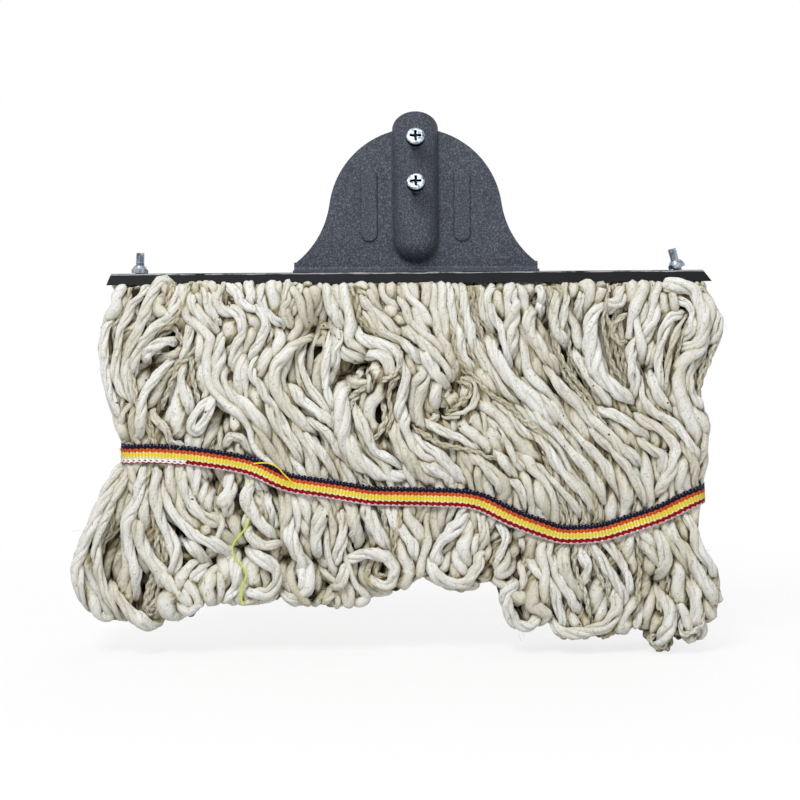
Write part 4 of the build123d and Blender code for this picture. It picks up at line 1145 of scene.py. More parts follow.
# Dark hollows of the pile: pixel and size in millimetres
HOLLOWS = [
    (148, 368, 4), (222, 418, 4.5), (313, 330, 4), (343, 378, 6), (366, 364, 4), (453, 386, 3.5),
    (440, 410, 3), (532, 302, 4), (645, 370, 4), (212, 484, 4.5), (240, 550, 5), (213, 561, 4.5),
    (272, 491, 4), (287, 562, 4.5), (314, 562, 4.5), (326, 588, 4), (521, 558, 5), (656, 585, 5),
]
thread_across = [spot[0] for spot in THREAD_ROUTE]
thread_levels = [spot[2] for spot in THREAD_ROUTE]
left_edge = from_photo(EDGES[:, 1], EDGES[:, 0])
right_edge = from_photo(EDGES[:, 2], EDGES[:, 0])


def room_in_front(across, level, facing):
    """How far out the pile may reach at each point: behind the tape and the thread, and in the hollows."""
    from_tape = np.abs(level - tape_level(across))
    from_end = np.minimum(across - TAPE_ENDS[0], TAPE_ENDS[1] - across)
    under_tape = np.interp(from_end, END_STEPS, END_ROOMS)
    room = under_tape + np.clip((from_tape - TAPE_HOLD) / TAPE_FREE, 0, 1) ** 2 * (PILE_FRONT - under_tape)
    if facing > 0:
        return room
    beside = np.abs(across - np.interp(-level, -np.array(thread_levels), thread_across))
    below_tape = level < from_photo(*THREAD_PIXEL)[1]
    near_thread = np.clip(1 - (beside - THREAD_WIDE) / THREAD_GAP, 0, 1) * below_tape
    room = room - near_thread * (room - TAPE_FACE + THREAD_BACK)
    for px, py, size in HOLLOWS:
        x, z = from_photo(px, py, TAPE_FACE)
        inside = np.clip(HOLLOW_EDGE - np.hypot(across - x, level - z) / size, 0, 1)
        room = room - inside * np.clip(room - HOLLOW_ROOM, 0, None)
    return room


def keep_inside(loops, radii, facing, held, climbs):
    """Loops brought back inside the outline, behind the tape and the thread, and clear of the lip."""
    across, level = loops[..., 0], loops[..., 2]
    left = np.interp(-level, -left_edge[1], left_edge[0]) + radii
    right = np.interp(-level, -right_edge[1], right_edge[0]) - radii
    at_tape = np.abs(level - tape_level(across)) < TAPE_WIDTH / 2 + TAPE_MARGIN
    left = np.where(at_tape, np.maximum(left, TAPE_ENDS[0] + END_GAP + radii), left)
    right = np.where(at_tape, np.minimum(right, TAPE_ENDS[1] - END_GAP - radii), right)
    across = np.clip(across, left, right)
    room = room_in_front(across, level, facing)
    depth = np.clip(facing * loops[..., 1], PILE_BACK + radii, np.maximum(room - radii, PILE_BACK + radii))
    at_lip = (depth + radii > LIP_INSIDE) & (depth - radii < LIP_OUTSIDE)
    level = np.where(at_lip, np.minimum(level, LIP_LEVEL - LIP_GAP - LIP_SHARE * radii), level)
    before_lip = (depth - radii >= LIP_OUTSIDE) & ~climbs[:, None]
    top = np.interp(across, SHOULDER_ACROSS, SHOULDER_TOPS)
    level = np.where(before_lip, np.minimum(level, top - SHOULDER_SHARE * radii), level)
    level = np.maximum(level, foot_level(across) + radii)
    kept = np.stack([across, facing * depth, level], axis=-1)
    return np.where(held, loops, kept)


print("hollows", len(HOLLOWS))

# %% [markdown]
# The strands are pushed apart as soft round threads would be: every pair of points that is too near moves
# apart a little, and the moves are eased along each strand so that it keeps its curls. The strands of the face
# are stiffer than the others. Each strand has its own thickness, which swells and shrinks along it.

# %% Pushing the strands apart
SOFTNESS, STIFF_GIVE = 0.84, 0.3
HELD_POINTS, OWN_REACH, PAIR_ROUNDS = 4, 8, 5
PUSH, LONGEST_MOVE, MOVE_EASE, MOVE_KEPT = 0.22, 1.2, 0.6, 0.985
TINY = 1e-6
# For fat, middling and thin strands: how many there are, their radii, and how much these vary
KIND_SHARES = (0.4, 0.34, 0.26)
RADIUS_RANGES = ((2.6, 3.7), (2.0, 2.5), (1.4, 1.7))
SWELLS = (0.24, 0.2, 0.09)
SWELL_EASE, FINE_EASE, FINE_SHARE, SWELL_LIMITS = 26, 6, 0.4, (-1.7, 1.9)
# Thickness near the ends of a loop, by points from the end
END_POINTS, END_SHARES = (0, 4, 10), (0.5, 0.6, 1.0)
FACE_SLIM, FACE_SWELL, FACE_SWELL_EASE, FACE_SWELL_LIMIT = 0.92, 0.16, 300, 1.7
TIP, ROOT_TAPER, TIP_TAPER = 0.4, 12, 60


def push_apart(loops, radii, facing, climbs, stiff, rounds):
    """Loops moved until neighbours hardly overlap, with their roots held and the stiff ones moving less."""
    count, length = loops.shape[:2]
    target = loops.copy()
    owner = np.repeat(np.arange(count), length)
    index = np.tile(np.arange(length), count)
    radius = radii.reshape(-1)
    give = np.where(stiff, STIFF_GIVE, 1.0)[owner]
    held = np.zeros((1, length, 1), bool)
    held[:, :HELD_POINTS] = True
    held[:, -HELD_POINTS:] = True
    for step in range(rounds):
        points = loops.reshape(-1, 3)
        if step % PAIR_ROUNDS == 0:
            first, second = near_pairs(points, SOFTNESS * 2 * radius.max())
            apart = owner[first] != owner[second]
            apart |= (np.abs(index[first] - index[second]) > OWN_REACH) & ~stiff[owner[first]]
            first, second = first[apart], second[apart]
        gap = points[first] - points[second]
        distance = np.sqrt((gap**2).sum(axis=1)) + TINY
        overlap = np.clip(SOFTNESS * (radius[first] + radius[second]) - distance, 0, None)
        push = gap * (PUSH * overlap / distance)[:, None]
        move = np.empty_like(points)
        for axis in range(3):
            gained = np.bincount(first, push[:, axis], len(points))
            move[:, axis] = give * (gained - np.bincount(second, push[:, axis], len(points)))
        limit = np.clip(LONGEST_MOVE / (np.linalg.norm(move, axis=1) + TINY), None, 1)
        moved = loops - target + (move * limit[:, None]).reshape(loops.shape)
        moved = MOVE_KEPT * (moved + MOVE_EASE * (smoothed(moved, 2) - moved))
        loops = keep_inside(np.where(held, loops, target + moved), radii, facing, held, climbs)
    return loops


def strand_radii(count, length):
    """Thickness along each strand: fat slubby rovings, middling ones and thin hard-twisted plies."""
    kind = rng.choice([0, 1, 2], size=count, p=KIND_SHARES)
    base = np.choose(kind, [rng.uniform(low, high, count) for low, high in RADIUS_RANGES])
    swell = smooth_waves((count, length, 1), SWELL_EASE)[..., 0]
    swell = swell + FINE_SHARE * smooth_waves((count, length, 1), FINE_EASE)[..., 0]
    radii = base[:, None] * (1 + np.choose(kind, SWELLS)[:, None] * np.clip(swell, *SWELL_LIMITS))
    ends = np.minimum(np.arange(length), np.arange(length)[::-1])
    return radii * np.interp(ends, END_POINTS, END_SHARES), kind


def face_radii():
    """Thickness along each strand of the face, thinner where it dives."""
    base = FACE_SLIM * np.array([radius for radius, rise, pixels in FACE_STRANDS])[:, None]
    swell = smooth_waves((len(base), LOOP_POINTS, 1), FACE_SWELL_EASE)[..., 0]
    steps = np.arange(LOOP_POINTS)
    starts = [pixels[0][1] for radius, rise, pixels in FACE_STRANDS]
    rooted = np.array([[ROOT_TAPER if row <= BAR_ROW else TIP_TAPER] for row in starts])
    taper = np.minimum(TIP + (1 - TIP) * steps / rooted, 1)
    taper = taper * np.minimum(TIP + (1 - TIP) * steps[::-1] / TIP_TAPER, 1)
    return base * (1 + FACE_SWELL * np.clip(swell, -FACE_SWELL_LIMIT, FACE_SWELL_LIMIT)) * taper


ROUNDS = 60
piles = {}
for name, facing in FACINGS.items():
    loops, lobes, climbs = laid[name]
    radii, kinds = strand_radii(len(loops), loops.shape[1])
    count = len(loops)
    if name == "front":
        loops = np.concatenate([loops, face_loops])
        radii = np.concatenate([radii, face_radii()])
        climbs = np.concatenate([climbs, face_climbs])
    loops = push_apart(loops, radii, facing, climbs, np.arange(len(loops)) >= count, ROUNDS)
    piles[name] = (smoothed(loops[:count], 3), radii[:count], kinds, lobes)
    print(name, "pile", loops.min(axis=(0, 1)).round(1), loops.max(axis=(0, 1)).round(1))
    if name == "front":
        face_lines, face_sizes = smoothed(loops[count:], 24), radii[count:]

# %% [markdown]
# Each settled line becomes one tube or several plies that wind round each other. The thin strands of the locks
# are two plies, and the other strands of the locks are single. On the face the fat strands are four plies that
# lie loosely, and the others two. A section's frame is turned from point to point without twist.

# %% Plies
# For strands of two and of four plies: distance of a ply from the middle, its radius, and how loosely it lies
PLY_OFFSET, PLY_RADIUS, PLY_WANDER = {2: 0.47, 4: 0.54}, {2: 0.58, 4: 0.53}, {2: 0.0, 4: 0.4}
PLY_EASE, PLY_LIMIT = 8, 2
OFFSET_SWING, RADIUS_SWING, WANDER_SWING = 0.4, 0.06, 0.15


def section_frames(lines):
    """Two directions across each line at each point, carried along without twist."""
    ahead = np.gradient(lines, axis=1)
    ahead /= np.linalg.norm(ahead, axis=2)[..., None]
    first = np.empty_like(lines)
    guess = np.broadcast_to(np.array([0.0, 1.0, 0.0]), lines[:, 0].shape)
    for step in range(lines.shape[1]):
        guess = guess - ahead[:, step] * (guess * ahead[:, step]).sum(axis=1)[:, None]
        guess = guess / np.linalg.norm(guess, axis=1)[:, None]
        first[:, step] = guess
    return first, np.cross(ahead, first)


def travel_along(lines):
    """Distance travelled along each line at each of its points."""
    steps = np.linalg.norm(np.diff(lines, axis=1), axis=2)
    return np.concatenate([np.zeros((len(lines), 1)), np.cumsum(steps, axis=1)], axis=1)


def split_plies(lines, radii, pitch, plies):
    """So many plies wound round each line, as lines and radii."""
    right, up = section_frames(lines)
    angle = 2 * pi * travel_along(lines) / pitch[:, None] + rng.uniform(0, 2 * pi, (len(lines), 1))
    shape, wander = (plies, len(lines), lines.shape[1], 1), PLY_WANDER[plies]
    angle = angle + 2 * pi * np.arange(plies)[:, None, None] / plies
    angle = angle + wander * smooth_waves(shape, PLY_EASE)[..., 0]
    swing = np.clip(smooth_waves(shape, PLY_EASE)[..., 0], -PLY_LIMIT, PLY_LIMIT)
    offset = PLY_OFFSET[plies] * radii * (1 + OFFSET_SWING * wander * swing)
    away = (right * np.cos(angle)[..., None] + up * np.sin(angle)[..., None]) * offset[..., None]
    swing = np.clip(smooth_waves(shape, PLY_EASE)[..., 0], -PLY_LIMIT, PLY_LIMIT)
    thickness = PLY_RADIUS[plies] * radii * (1 + (RADIUS_SWING + WANDER_SWING * wander) * swing)
    return (lines + away).reshape(-1, *lines.shape[1:]), thickness.reshape(-1, lines.shape[1])


print("radii of plies", PLY_RADIUS)

# %% [markdown]
# Light hardly gets into the gaps of the yarn, so they get painted shade. Two measures tell where that is: how
# far a corner of a section faces a strand that lies against it, and how deep a point lies in the pile.

# %% Crevices and depth
SIDES = 8
BUNDLE_SHADE = 0.5
# Keeps the numbers of the bundles of one group apart from those of the next
GROUP_STEP = 10000
NEAR_MARGIN, TOUCH, TOUCH_RUN = 0.5, 1.1, 1.5
LEAN_START, CREVICE_GAIN = 0.3, 1.6
CELL, CELL_REACH = 5.0, 3
DEPTH_START, DEPTH_RUN = 4.5, 8.5


def section_rings(lines, sides=SIDES):
    """Directions from the centre line to the corners of each section."""
    right, up = section_frames(lines)
    angle = np.arange(sides) * 2 * pi / sides
    return right[:, :, None] * np.cos(angle)[:, None] + up[:, :, None] * np.sin(angle)[:, None]


def crevices(groups):
    """For each group, how far each corner of a section faces a strand that lies against it, from 0 to 1."""
    points = np.concatenate([group[0].reshape(-1, 3) for group in groups])
    radius = np.concatenate([group[1].reshape(-1) for group in groups])
    rings = np.concatenate([section_rings(group[0]).reshape(-1, SIDES, 3) for group in groups])
    lengths = np.concatenate([np.full(len(group[0]), group[0].shape[1]) for group in groups])
    strand = np.repeat(np.arange(len(lengths)), lengths)
    bundles = [group[2] + GROUP_STEP * place for place, group in enumerate(groups)]
    bundle = np.repeat(np.concatenate(bundles), lengths)
    first, second = near_pairs(points, 2 * radius.max() + NEAR_MARGIN)
    apart = (strand[first] != strand[second]) | (np.abs(first - second) > OWN_REACH)
    first, second = first[apart], second[apart]
    gap = points[second] - points[first]
    distance = np.sqrt((gap**2).sum(axis=1)) + TINY
    touch = np.clip(TOUCH - (distance - radius[first] - radius[second]) / TOUCH_RUN, 0, 1)
    touch *= np.where(bundle[first] == bundle[second], BUNDLE_SHADE, 1.0)
    near = touch > 0
    first, second, gap = first[near], second[near], gap[near] * (touch[near] / distance[near])[:, None]
    facing_it = np.zeros((len(points), SIDES))
    for corner in range(SIDES):
        for here, sign in ((first, 1), (second, -1)):
            lean = sign * (gap * rings[here, corner]).sum(axis=1)
            facing_it[:, corner] += np.bincount(here, np.clip(lean - LEAN_START, 0, None) ** 2, len(points))
    dark = 1 - np.exp(-CREVICE_GAIN * facing_it)
    ends = np.cumsum([group[1].size for group in groups])[:-1]
    return [part.reshape(*group[1].shape, SIDES) for part, group in zip(np.split(dark, ends), groups)]


def pile_depth(groups, facing):
    """For each group, how deep a point lies under the pile's face, from 0 on the face to 1 in the hollows."""
    corner = np.min([group[0].min(axis=(0, 1)) for group in groups], axis=0)
    size = np.max([group[0].max(axis=(0, 1)) for group in groups], axis=0) - corner
    face = np.zeros((int(size[0] / CELL) + 1, int(size[2] / CELL) + 1))
    places = []
    for lines in [group[0] for group in groups]:
        column, row = [((lines[..., axis] - corner[axis]) / CELL).astype(int) for axis in (0, 2)]
        places.append((column, row, facing * lines[..., 1]))
        np.maximum.at(face, (column, row), facing * lines[..., 1])
    padded = np.pad(face, CELL_REACH, mode="edge")
    shifts = range(2 * CELL_REACH + 1)
    around = [padded[a : a + face.shape[0], b : b + face.shape[1]] for a in shifts for b in shifts]
    face = np.maximum(face, np.mean(around, axis=0))
    return [np.clip((face[column, row] - out - DEPTH_START) / DEPTH_RUN, 0, 1) for column, row, out in places]


print("corners of a section", SIDES)

# %% [markdown]
# One function sweeps all lines of a lobe at once, with sections that are a little flattened and lumpy, and
# writes the attributes that the cotton reads. Another makes short loose fibres that stand off the strands.

# %% Spinning the strands
# For rovings, middling strands, thin plies and stray fibres
PLY = np.array([0.07, 0.05, 0.05, 0.0])
PITCH = np.array([48.0, 30.0, 12.0, 20.0])
TWIST = np.array([0.0, 0.1, 0.8, 0.0])
LUMPS, LUMP_EASE = 0.08, 5
# Moves the fibres' pattern on from one strand to the next
FIBRE_SHIFT = 400
STRAY_POINTS, STRAY_KIND, STRAY_SIDES = 6, 3, 3
STRAY_MARGIN, STRAY_OUT, STRAY_ROOT, STRAY_STEP = 20, 15.0, 0.85, 3
STRAY_LEAN, STRAY_BEND, STRAY_REACH, STRAY_LIFT = 0.55, 0.5, (2, 5.5), 0.6
LEAN_FLATNESS, BEND_FLATNESS = np.array([1, 0.15, 1]), np.array([1, 0.1, 1])


def spin_strands(name, lines, radii, kinds, tones, depths, sides=SIDES):
    """A mesh of all the strands, one tube each, with closed ends and the attributes of the cotton."""
    count, length = lines.shape[:2]
    travelled = travel_along(lines)
    angle = np.arange(sides) * 2 * pi / sides
    turned = angle - (2 * pi * travelled / PITCH[kinds][:, None])[..., None]
    lobed = 1 + PLY[kinds][:, None, None] * np.cos(2 * turned)
    lobed += LUMPS * smooth_waves((count, length, sides), LUMP_EASE)
    points = lines[:, :, None] + section_rings(lines, sides) * (radii[..., None] * lobed)[..., None]
    start = np.arange(count)[:, None, None] * length * sides + np.arange(length - 1)[:, None] * sides
    side = np.arange(sides)
    after = (side + 1) % sides
    quads = np.stack([start + side, start + after, start + sides + after, start + sides + side], axis=-1)
    caps = np.arange(count)[:, None] * length * sides + side
    faces = quads.reshape(-1, 4).tolist()
    faces += caps[:, ::-1].tolist()
    faces += (caps + (length - 1) * sides).tolist()
    mesh = bpy.data.meshes.new(name)
    mesh.from_pydata(points.reshape(-1, 3) * MM, [], faces)
    lengthwise = (travelled[..., None] + FIBRE_SHIFT * np.arange(count)[:, None, None]) / FIBRE_STRETCH
    fibre = np.stack([radii[..., None] * np.cos(turned), radii[..., None] * np.sin(turned),
                      np.broadcast_to(lengthwise, turned.shape)], axis=-1).astype(np.float32)
    mesh.attributes.new("fibre", "FLOAT_VECTOR", "POINT").data.foreach_set("vector", fibre.ravel())
    plain_marks = {"tone": tones[:, None, None], "twist": TWIST[kinds][:, None, None], "deep": depths}
    for label, values in plain_marks.items():
        spread = np.broadcast_to(values, turned.shape).astype(np.float32)
        mesh.attributes.new(label, "FLOAT", "POINT").data.foreach_set("value", spread.ravel())
    mesh.polygons.foreach_set("use_smooth", np.ones(len(mesh.polygons), bool))
    mesh.materials.append(cotton)
    mesh.update()
    return add_object(name, mesh)


def stray_fibres(loops, radii, facing, count):
    """Lines of short loose fibres that stand off the outer strands of a lobe."""
    outer = np.argwhere(facing * loops[:, STRAY_MARGIN:-STRAY_MARGIN, 1] > STRAY_OUT)
    if len(outer) == 0:
        return np.zeros((0, STRAY_POINTS, 3))
    picks = outer[rng.integers(0, len(outer), count)]
    rows, steps = picks[:, 0], picks[:, 1] + STRAY_MARGIN
    outward = np.array([0, facing, 0])
    root = loops[rows, steps] + outward * (STRAY_ROOT * radii[rows, steps])[:, None]
    ahead = loops[rows, steps + STRAY_STEP] - loops[rows, steps - STRAY_STEP]
    ahead = ahead / np.linalg.norm(ahead, axis=1)[:, None]
    ahead = ahead + rng.normal(0, STRAY_LEAN, (count, 3)) * LEAN_FLATNESS
    bend = rng.normal(0, STRAY_BEND, (count, 3)) * BEND_FLATNESS
    reach = rng.uniform(*STRAY_REACH, count)[:, None, None]
    share = np.linspace(0, 1, STRAY_POINTS)[None, :, None]
    lift = np.sin(pi * share) * outward * STRAY_LIFT
    return root[:, None] + reach * (share * ahead[:, None] + share**2 * bend[:, None]) + lift


def join_pieces(piece, extra):
    """One mesh of two."""
    bpy.ops.object.select_all(action="DESELECT")
    extra.select_set(True)
    piece.select_set(True)
    bpy.context.view_layer.objects.active = piece
    bpy.ops.object.join()
    bpy.ops.object.select_all(action="DESELECT")


print("turns of each kind in millimetres", PITCH.tolist())

# %% [markdown]
# Each lobe of each side becomes one piece, from its share of the locks, the inner loops, the strands of the
# face and the stray fibres.

# %% Yarn pieces
TONES, TONE_SPREAD, PLY_SPREAD = np.array([0.84, 0.58, 0.32]), 0.13, 0.07
DEPTH_SHADE, CREVICE_SHADE = 0.92, 0.95
STRAYS, STRAY_RADIUS, STRAY_TONES, DARK_STRAYS = 70, 0.09, (0.6, 1.0), 0.12
LOCK_LOOPS = len(ROUTES) * STRANDS // 2
# One in so many points is kept: of the fat and the thin strands of the face, and of the inner loops
FAT_STEP, THIN_STEP, INNER_STEP = 5, 2, 3
FAT_RADIUS, MIDDLING_RADIUS = 2.4, 2.0


def plied_group(lines, radii, kinds, lobes, plies):
    """Lines, radii, bundles, kinds, lobes and tones of strands that are split into so many plies."""
    parts = []
    tones = TONES[kinds] + rng.normal(0, TONE_SPREAD, len(kinds))
    for count in np.unique(plies):
        chosen = np.flatnonzero(plies == count)
        split = lines[chosen], radii[chosen]
        if count > 1:
            split = split_plies(*split, PITCH[kinds[chosen]], int(count))
        bundle = np.tile(chosen, count)
        ply_tones = np.clip(tones[bundle] + rng.normal(0, PLY_SPREAD, len(bundle)), 0, 1)
        parts.append((*split, bundle, kinds[bundle], lobes[bundle], ply_tones))
    return [np.concatenate(values) for values in zip(*parts)]


yarn_pieces = []
for name, facing in FACINGS.items():
    loops, radii, kinds, lobes = piles[name]
    outer, inner = slice(None, LOCK_LOOPS), slice(LOCK_LOOPS, None)
    outer_plies, inner_plies = np.where(kinds[outer] == 2, 2, 1), np.ones_like(kinds[inner])
    groups = [
        plied_group(loops[outer], radii[outer], kinds[outer], lobes[outer], outer_plies),
        plied_group(loops[inner, ::INNER_STEP], radii[inner, ::INNER_STEP], kinds[inner], lobes[inner],
                    inner_plies),
    ]
    if name == "front":
        face_kinds = np.digitize(-face_sizes.max(axis=1), [-FAT_RADIUS, -MIDDLING_RADIUS])
        for chosen, step, plies in ((face_kinds == 0, FAT_STEP, 4), (face_kinds > 0, THIN_STEP, 2)):
            groups.append(plied_group(face_lines[chosen, ::step], face_sizes[chosen, ::step],
                                      face_kinds[chosen], face_lobes[chosen], np.full(chosen.sum(), plies)))
    # Painted shade of each corner, from its depth in the pile and the crevice it faces; the cotton reads it as
    # deep
    depths = [1 - (1 - DEPTH_SHADE * deep[..., None]) * (1 - CREVICE_SHADE * dark)
              for deep, dark in zip(pile_depth(groups, facing), crevices(groups))]
    for lobe in range(len(LOBES_AT_TAPE) - 1):
        piece = None
        for (lines, radii, bundles, kinds, lobes, tones), depth in zip(groups, depths):
            chosen = np.flatnonzero(lobes == lobe)
            if len(chosen) == 0:
                continue
            strands = spin_strands(f"{name}_yarn_{lobe + 1}", lines[chosen], radii[chosen], kinds[chosen],
                                   tones[chosen], depth[chosen])
            if piece is None:
                piece = strands
            else:
                join_pieces(piece, strands)
        lines, radii, bundles, kinds, lobes, tones = groups[2 if name == "front" else 0]
        chosen = lobes == lobe
        fibres = stray_fibres(lines[chosen], radii[chosen], facing, STRAYS)
        fibre_depths = np.where(rng.random((len(fibres), 1, 1)) < DARK_STRAYS, 1.0, 0.0)
        fibre_tones = rng.uniform(*STRAY_TONES, len(fibres))
        strays = spin_strands("strays", fibres, np.full(fibres.shape[:2], STRAY_RADIUS),
                              np.full(len(fibres), STRAY_KIND), fibre_tones, fibre_depths, STRAY_SIDES)
        join_pieces(piece, strays)
        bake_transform(piece)
        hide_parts(f"{name}_yarn_lock_{lobe + 1}")
        yarn_pieces.append(piece)
sizes = []
for piece in yarn_pieces:
    piece.data.calc_loop_triangles()
    sizes.append(len(piece.data.loop_triangles))
print("yarn pieces", len(yarn_pieces), "triangles", sum(sizes), "most", max(sizes))

# %% [markdown]
# Inside the clamp the yarn folds over the jaw bar. Only its ends show, from below and from the two ends of
# the bar, so a row of plain strands is enough: each one runs up one side of the bar, over it and down.

# %% Clamped yarn
FOLD_TOP, FOLD_FOOT, FOLD_DEPTH = -80.25, -88.0, 10.6
FOLD_SHOULDER, FOLD_CORNER = -82.6, 1.6
FOLD_PITCH, FOLD_HALF, FOLD_RADIUS, FOLD_SWELL = 4.4, 152.0, 2.1, 0.05
FOLD_POINTS, FOLD_EASE, FOLD_SWELL_EASE = 40, 2, 12
# The clamped strands get an even painted shade, as yarn deep in the pile does
FOLD_KIND, FOLD_TONES, FOLD_PAINTED_SHADE = 1, (0.2, 0.8), 0.6
BOLT_X, BOLT_ROOM = 147.1, 5.0
rising = [(-FOLD_DEPTH, FOLD_FOOT), (-FOLD_DEPTH, FOLD_SHOULDER), (-FOLD_DEPTH + FOLD_CORNER, FOLD_TOP)]
falling = [(-out, level) for out, level in rising[::-1]]
fold_line = even_line(rising + falling, FOLD_POINTS, FOLD_EASE)
fold_places = np.arange(-FOLD_HALF, FOLD_HALF + 0.1, FOLD_PITCH)
fold_places = fold_places[np.abs(np.abs(fold_places) - BOLT_X) > BOLT_ROOM]
folds = np.array([np.column_stack([np.full(FOLD_POINTS, CLAMP_X + x), fold_line]) for x in fold_places])
fold_waves = smooth_waves((len(folds), FOLD_POINTS, 1), FOLD_SWELL_EASE)[..., 0]
fold_radii = FOLD_RADIUS * (1 + FOLD_SWELL * fold_waves)
fold_tones = rng.uniform(*FOLD_TONES, len(folds))
clamped = spin_strands("clamped_strands", folds, fold_radii, np.full(len(folds), FOLD_KIND), fold_tones,
                       np.full((1, 1, 1), FOLD_PAINTED_SHADE))
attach(clamped, "jaw")
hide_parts("clamped_yarn")
print("clamped strands", len(folds))

# %% [markdown]
# The stay tape is a narrow woven band with a navy edge, then orange, yellow and dark red, and a pale edge.
# Its pattern is woven, so it is drawn from the distance along the tape and across it. Each stripe has a lighter
# colour on the crests of its ribs, a painted highlight, and a darker one between them, painted shade, and its
# border is nicked by the beaded edge.

# %% Woven tape finish
RIB_PITCH, BEAD_PITCH = 1.75, 3.2
CHAIN_LENGTH = 48.0
PAINTED_CREST_LIGHT = [(0.0, "#efe3e3"), (0.075, "#ad1020"), (0.255, "#f6f1d2"), (0.35, "#efe452"), (0.51, "#f3e6a8"),
          (0.585, "#d66c38"), (0.755, "#1d1930")]
PAINTED_VALLEY_SHADE = [(0.0, "#c9acb0"), (0.075, "#6e0410"), (0.255, "#cdbf62"), (0.35, "#d2c128"), (0.51, "#d8a938"),
           (0.585, "#ac3c16"), (0.755, "#0b0914")]
weave, tree = new_material("striped_woven_tape")
thread_place = add_node(tree, "Attribute", attribute_name="weave")
spot = add_node(tree, "SeparateXYZ", {0: thread_place.outputs["Vector"]})


def wave_along(pitch, slant):
    """A wave from 0 to 1 along the tape, slanted by so many millimetres for each one across."""
    slanted = add_node(tree, "Math", {0: spot.outputs["Y"], 1: slant, 2: spot.outputs["X"]},
                       operation="MULTIPLY_ADD")
    phase = add_node(tree, "Math", {0: slanted, 1: 2 * pi / pitch}, operation="MULTIPLY")
    wave = add_node(tree, "Math", {0: phase}, operation="SINE")
    return add_node(tree, "MapRange", {"Value": wave, 1: -1.0}).outputs[0]


def laid_over(below, colour, *limits):
    """A colour laid over what is below it, where each value lies between its two limits."""
    mask = 1.0
    for value, low, high in limits:
        for limit, test in ((low, "GREATER_THAN"), (high, "LESS_THAN")):
            passed = add_node(tree, "Math", {0: value, 1: limit}, operation=test)
            mask = add_node(tree, "Math", {0: mask, 1: passed}, operation="MULTIPLY")
    mixed = add_node(tree, "Mix", {0: mask, 6: below, 7: linear(colour)}, data_type="RGBA")
    return mixed.outputs[2]


ribs = wave_along(RIB_PITCH, 0.0)
beads = wave_along(BEAD_PITCH, 0.5)
nicked = add_node(tree, "Math", {0: beads, 1: 0.55, 2: spot.outputs["Y"]}, operation="MULTIPLY_ADD")
nicked = add_node(tree, "MapRange", {"Value": nicked, 1: 0.27, 2: TAPE_WIDTH + 0.27})
patchy = add_node(tree, "TexNoise", {
    "Vector": thread_place.outputs["Vector"], "Scale": 1.0 / 16, "Detail": 2.0,
})
# How far each rib crest shows its painted highlight over the painted shade of the valleys, varied in patches
painted_crest_light = add_node(tree, "MapRange", {"Value": patchy.outputs["Fac"], 1: 0.3, 2: 0.65, 3: 0.35, 4: 1.0})
painted_crest_light = add_node(tree, "Math", {0: painted_crest_light, 1: ribs}, operation="MULTIPLY")
stripes = []
for stops in (PAINTED_VALLEY_SHADE, PAINTED_CREST_LIGHT):
    ramp = add_node(tree, "ValToRGB", {"Fac": nicked})
    ramp.color_ramp.interpolation = "CONSTANT"
    set_stops(ramp, stops)
    stripes.append(ramp.outputs["Color"])
woven = add_node(tree, "Mix", {0: painted_crest_light, 6: stripes[0], 7: stripes[1]}, data_type="RGBA")
# Pale dots on the crests of the beads in the navy edge: painted highlights
woven = laid_over(woven.outputs[2], "#8a8cae", (ribs, 0.86, 2.0), (nicked, 0.92, 0.965))
print("stripes", len(PAINTED_CREST_LIGHT))

# %% [markdown]
# Near its left end the tape is turned a little, so that its lower edge shows a white chain of stitches with
# dark gaps and a thin red line below. The finish ends with a fine relief of ribs and beads.

# %% Chain of the lower edge
chain = (spot.outputs["X"], -1.0, CHAIN_LENGTH)
woven = laid_over(woven, "#efe8e6", chain, (nicked, -1.0, 0.25))
woven = laid_over(woven, "#4b2733", chain, (beads, 0.66, 2.0), (nicked, 0.135, 0.2))
woven = laid_over(woven, "#a3182a", chain, (nicked, -1.0, 0.055))
weave_height = add_node(tree, "Math", {0: ribs, 1: beads}, operation="ADD")
weave_bump = add_node(tree, "Bump", {"Height": weave_height, "Strength": 0.5, "Distance": 0.25 * MM})
shader = add_node(tree, "BsdfPrincipled", {
    "Base Color": woven, "Roughness": 0.7, "Normal": weave_bump, "Specular IOR Level": 0.12,
})
finish_material(tree, shader)
print(weave.name, "nodes", len(tree.nodes))

# %% [markdown]
# The tape starts as a flat grid. Its points are laid along the line that the tape takes across the yarn,
# with both ends turned round the sides, a beaded upper edge and a little slack. Solidify gives it body.

# %% Laying the tape
TAPE_THICKNESS = 0.6
TAPE_STEPS, TAPE_ROWS = 1100, 10
SCALLOP, SCALLOP_START = 0.32, 0.95
TAPE_CORNER, TAPE_LIFT, TAPE_CLEAR = 4.5, 0.75, 0.4
# Size of two waves of slack, the distance along the tape that they turn in, and how the second one slants
SLACK, SLACK_RUN, SLACK_SLANT = (0.3, 0.25), (9.0, 4.1), 2
TURN_DEPTHS = (7.0, 12.0, 17.0)
FRONT_PLACES, RUN_POINTS, RUN_EASE = 120, 170, 9
front_places = np.linspace(TAPE_ENDS[0] + TAPE_CORNER, TAPE_ENDS[1] - TAPE_CORNER, FRONT_PLACES)
front_run = [(x, TAPE_FACE + TAPE_LIFT, tape_level(x)) for x in front_places]
left_turn, right_turn = [[(end, depth, tape_level(end)) for depth in TURN_DEPTHS] for end in TAPE_ENDS]
tape_run = even_line(left_turn + front_run + right_turn[::-1], RUN_POINTS, RUN_EASE)
tape_length = np.linalg.norm(np.diff(tape_run, axis=0), axis=1).sum()


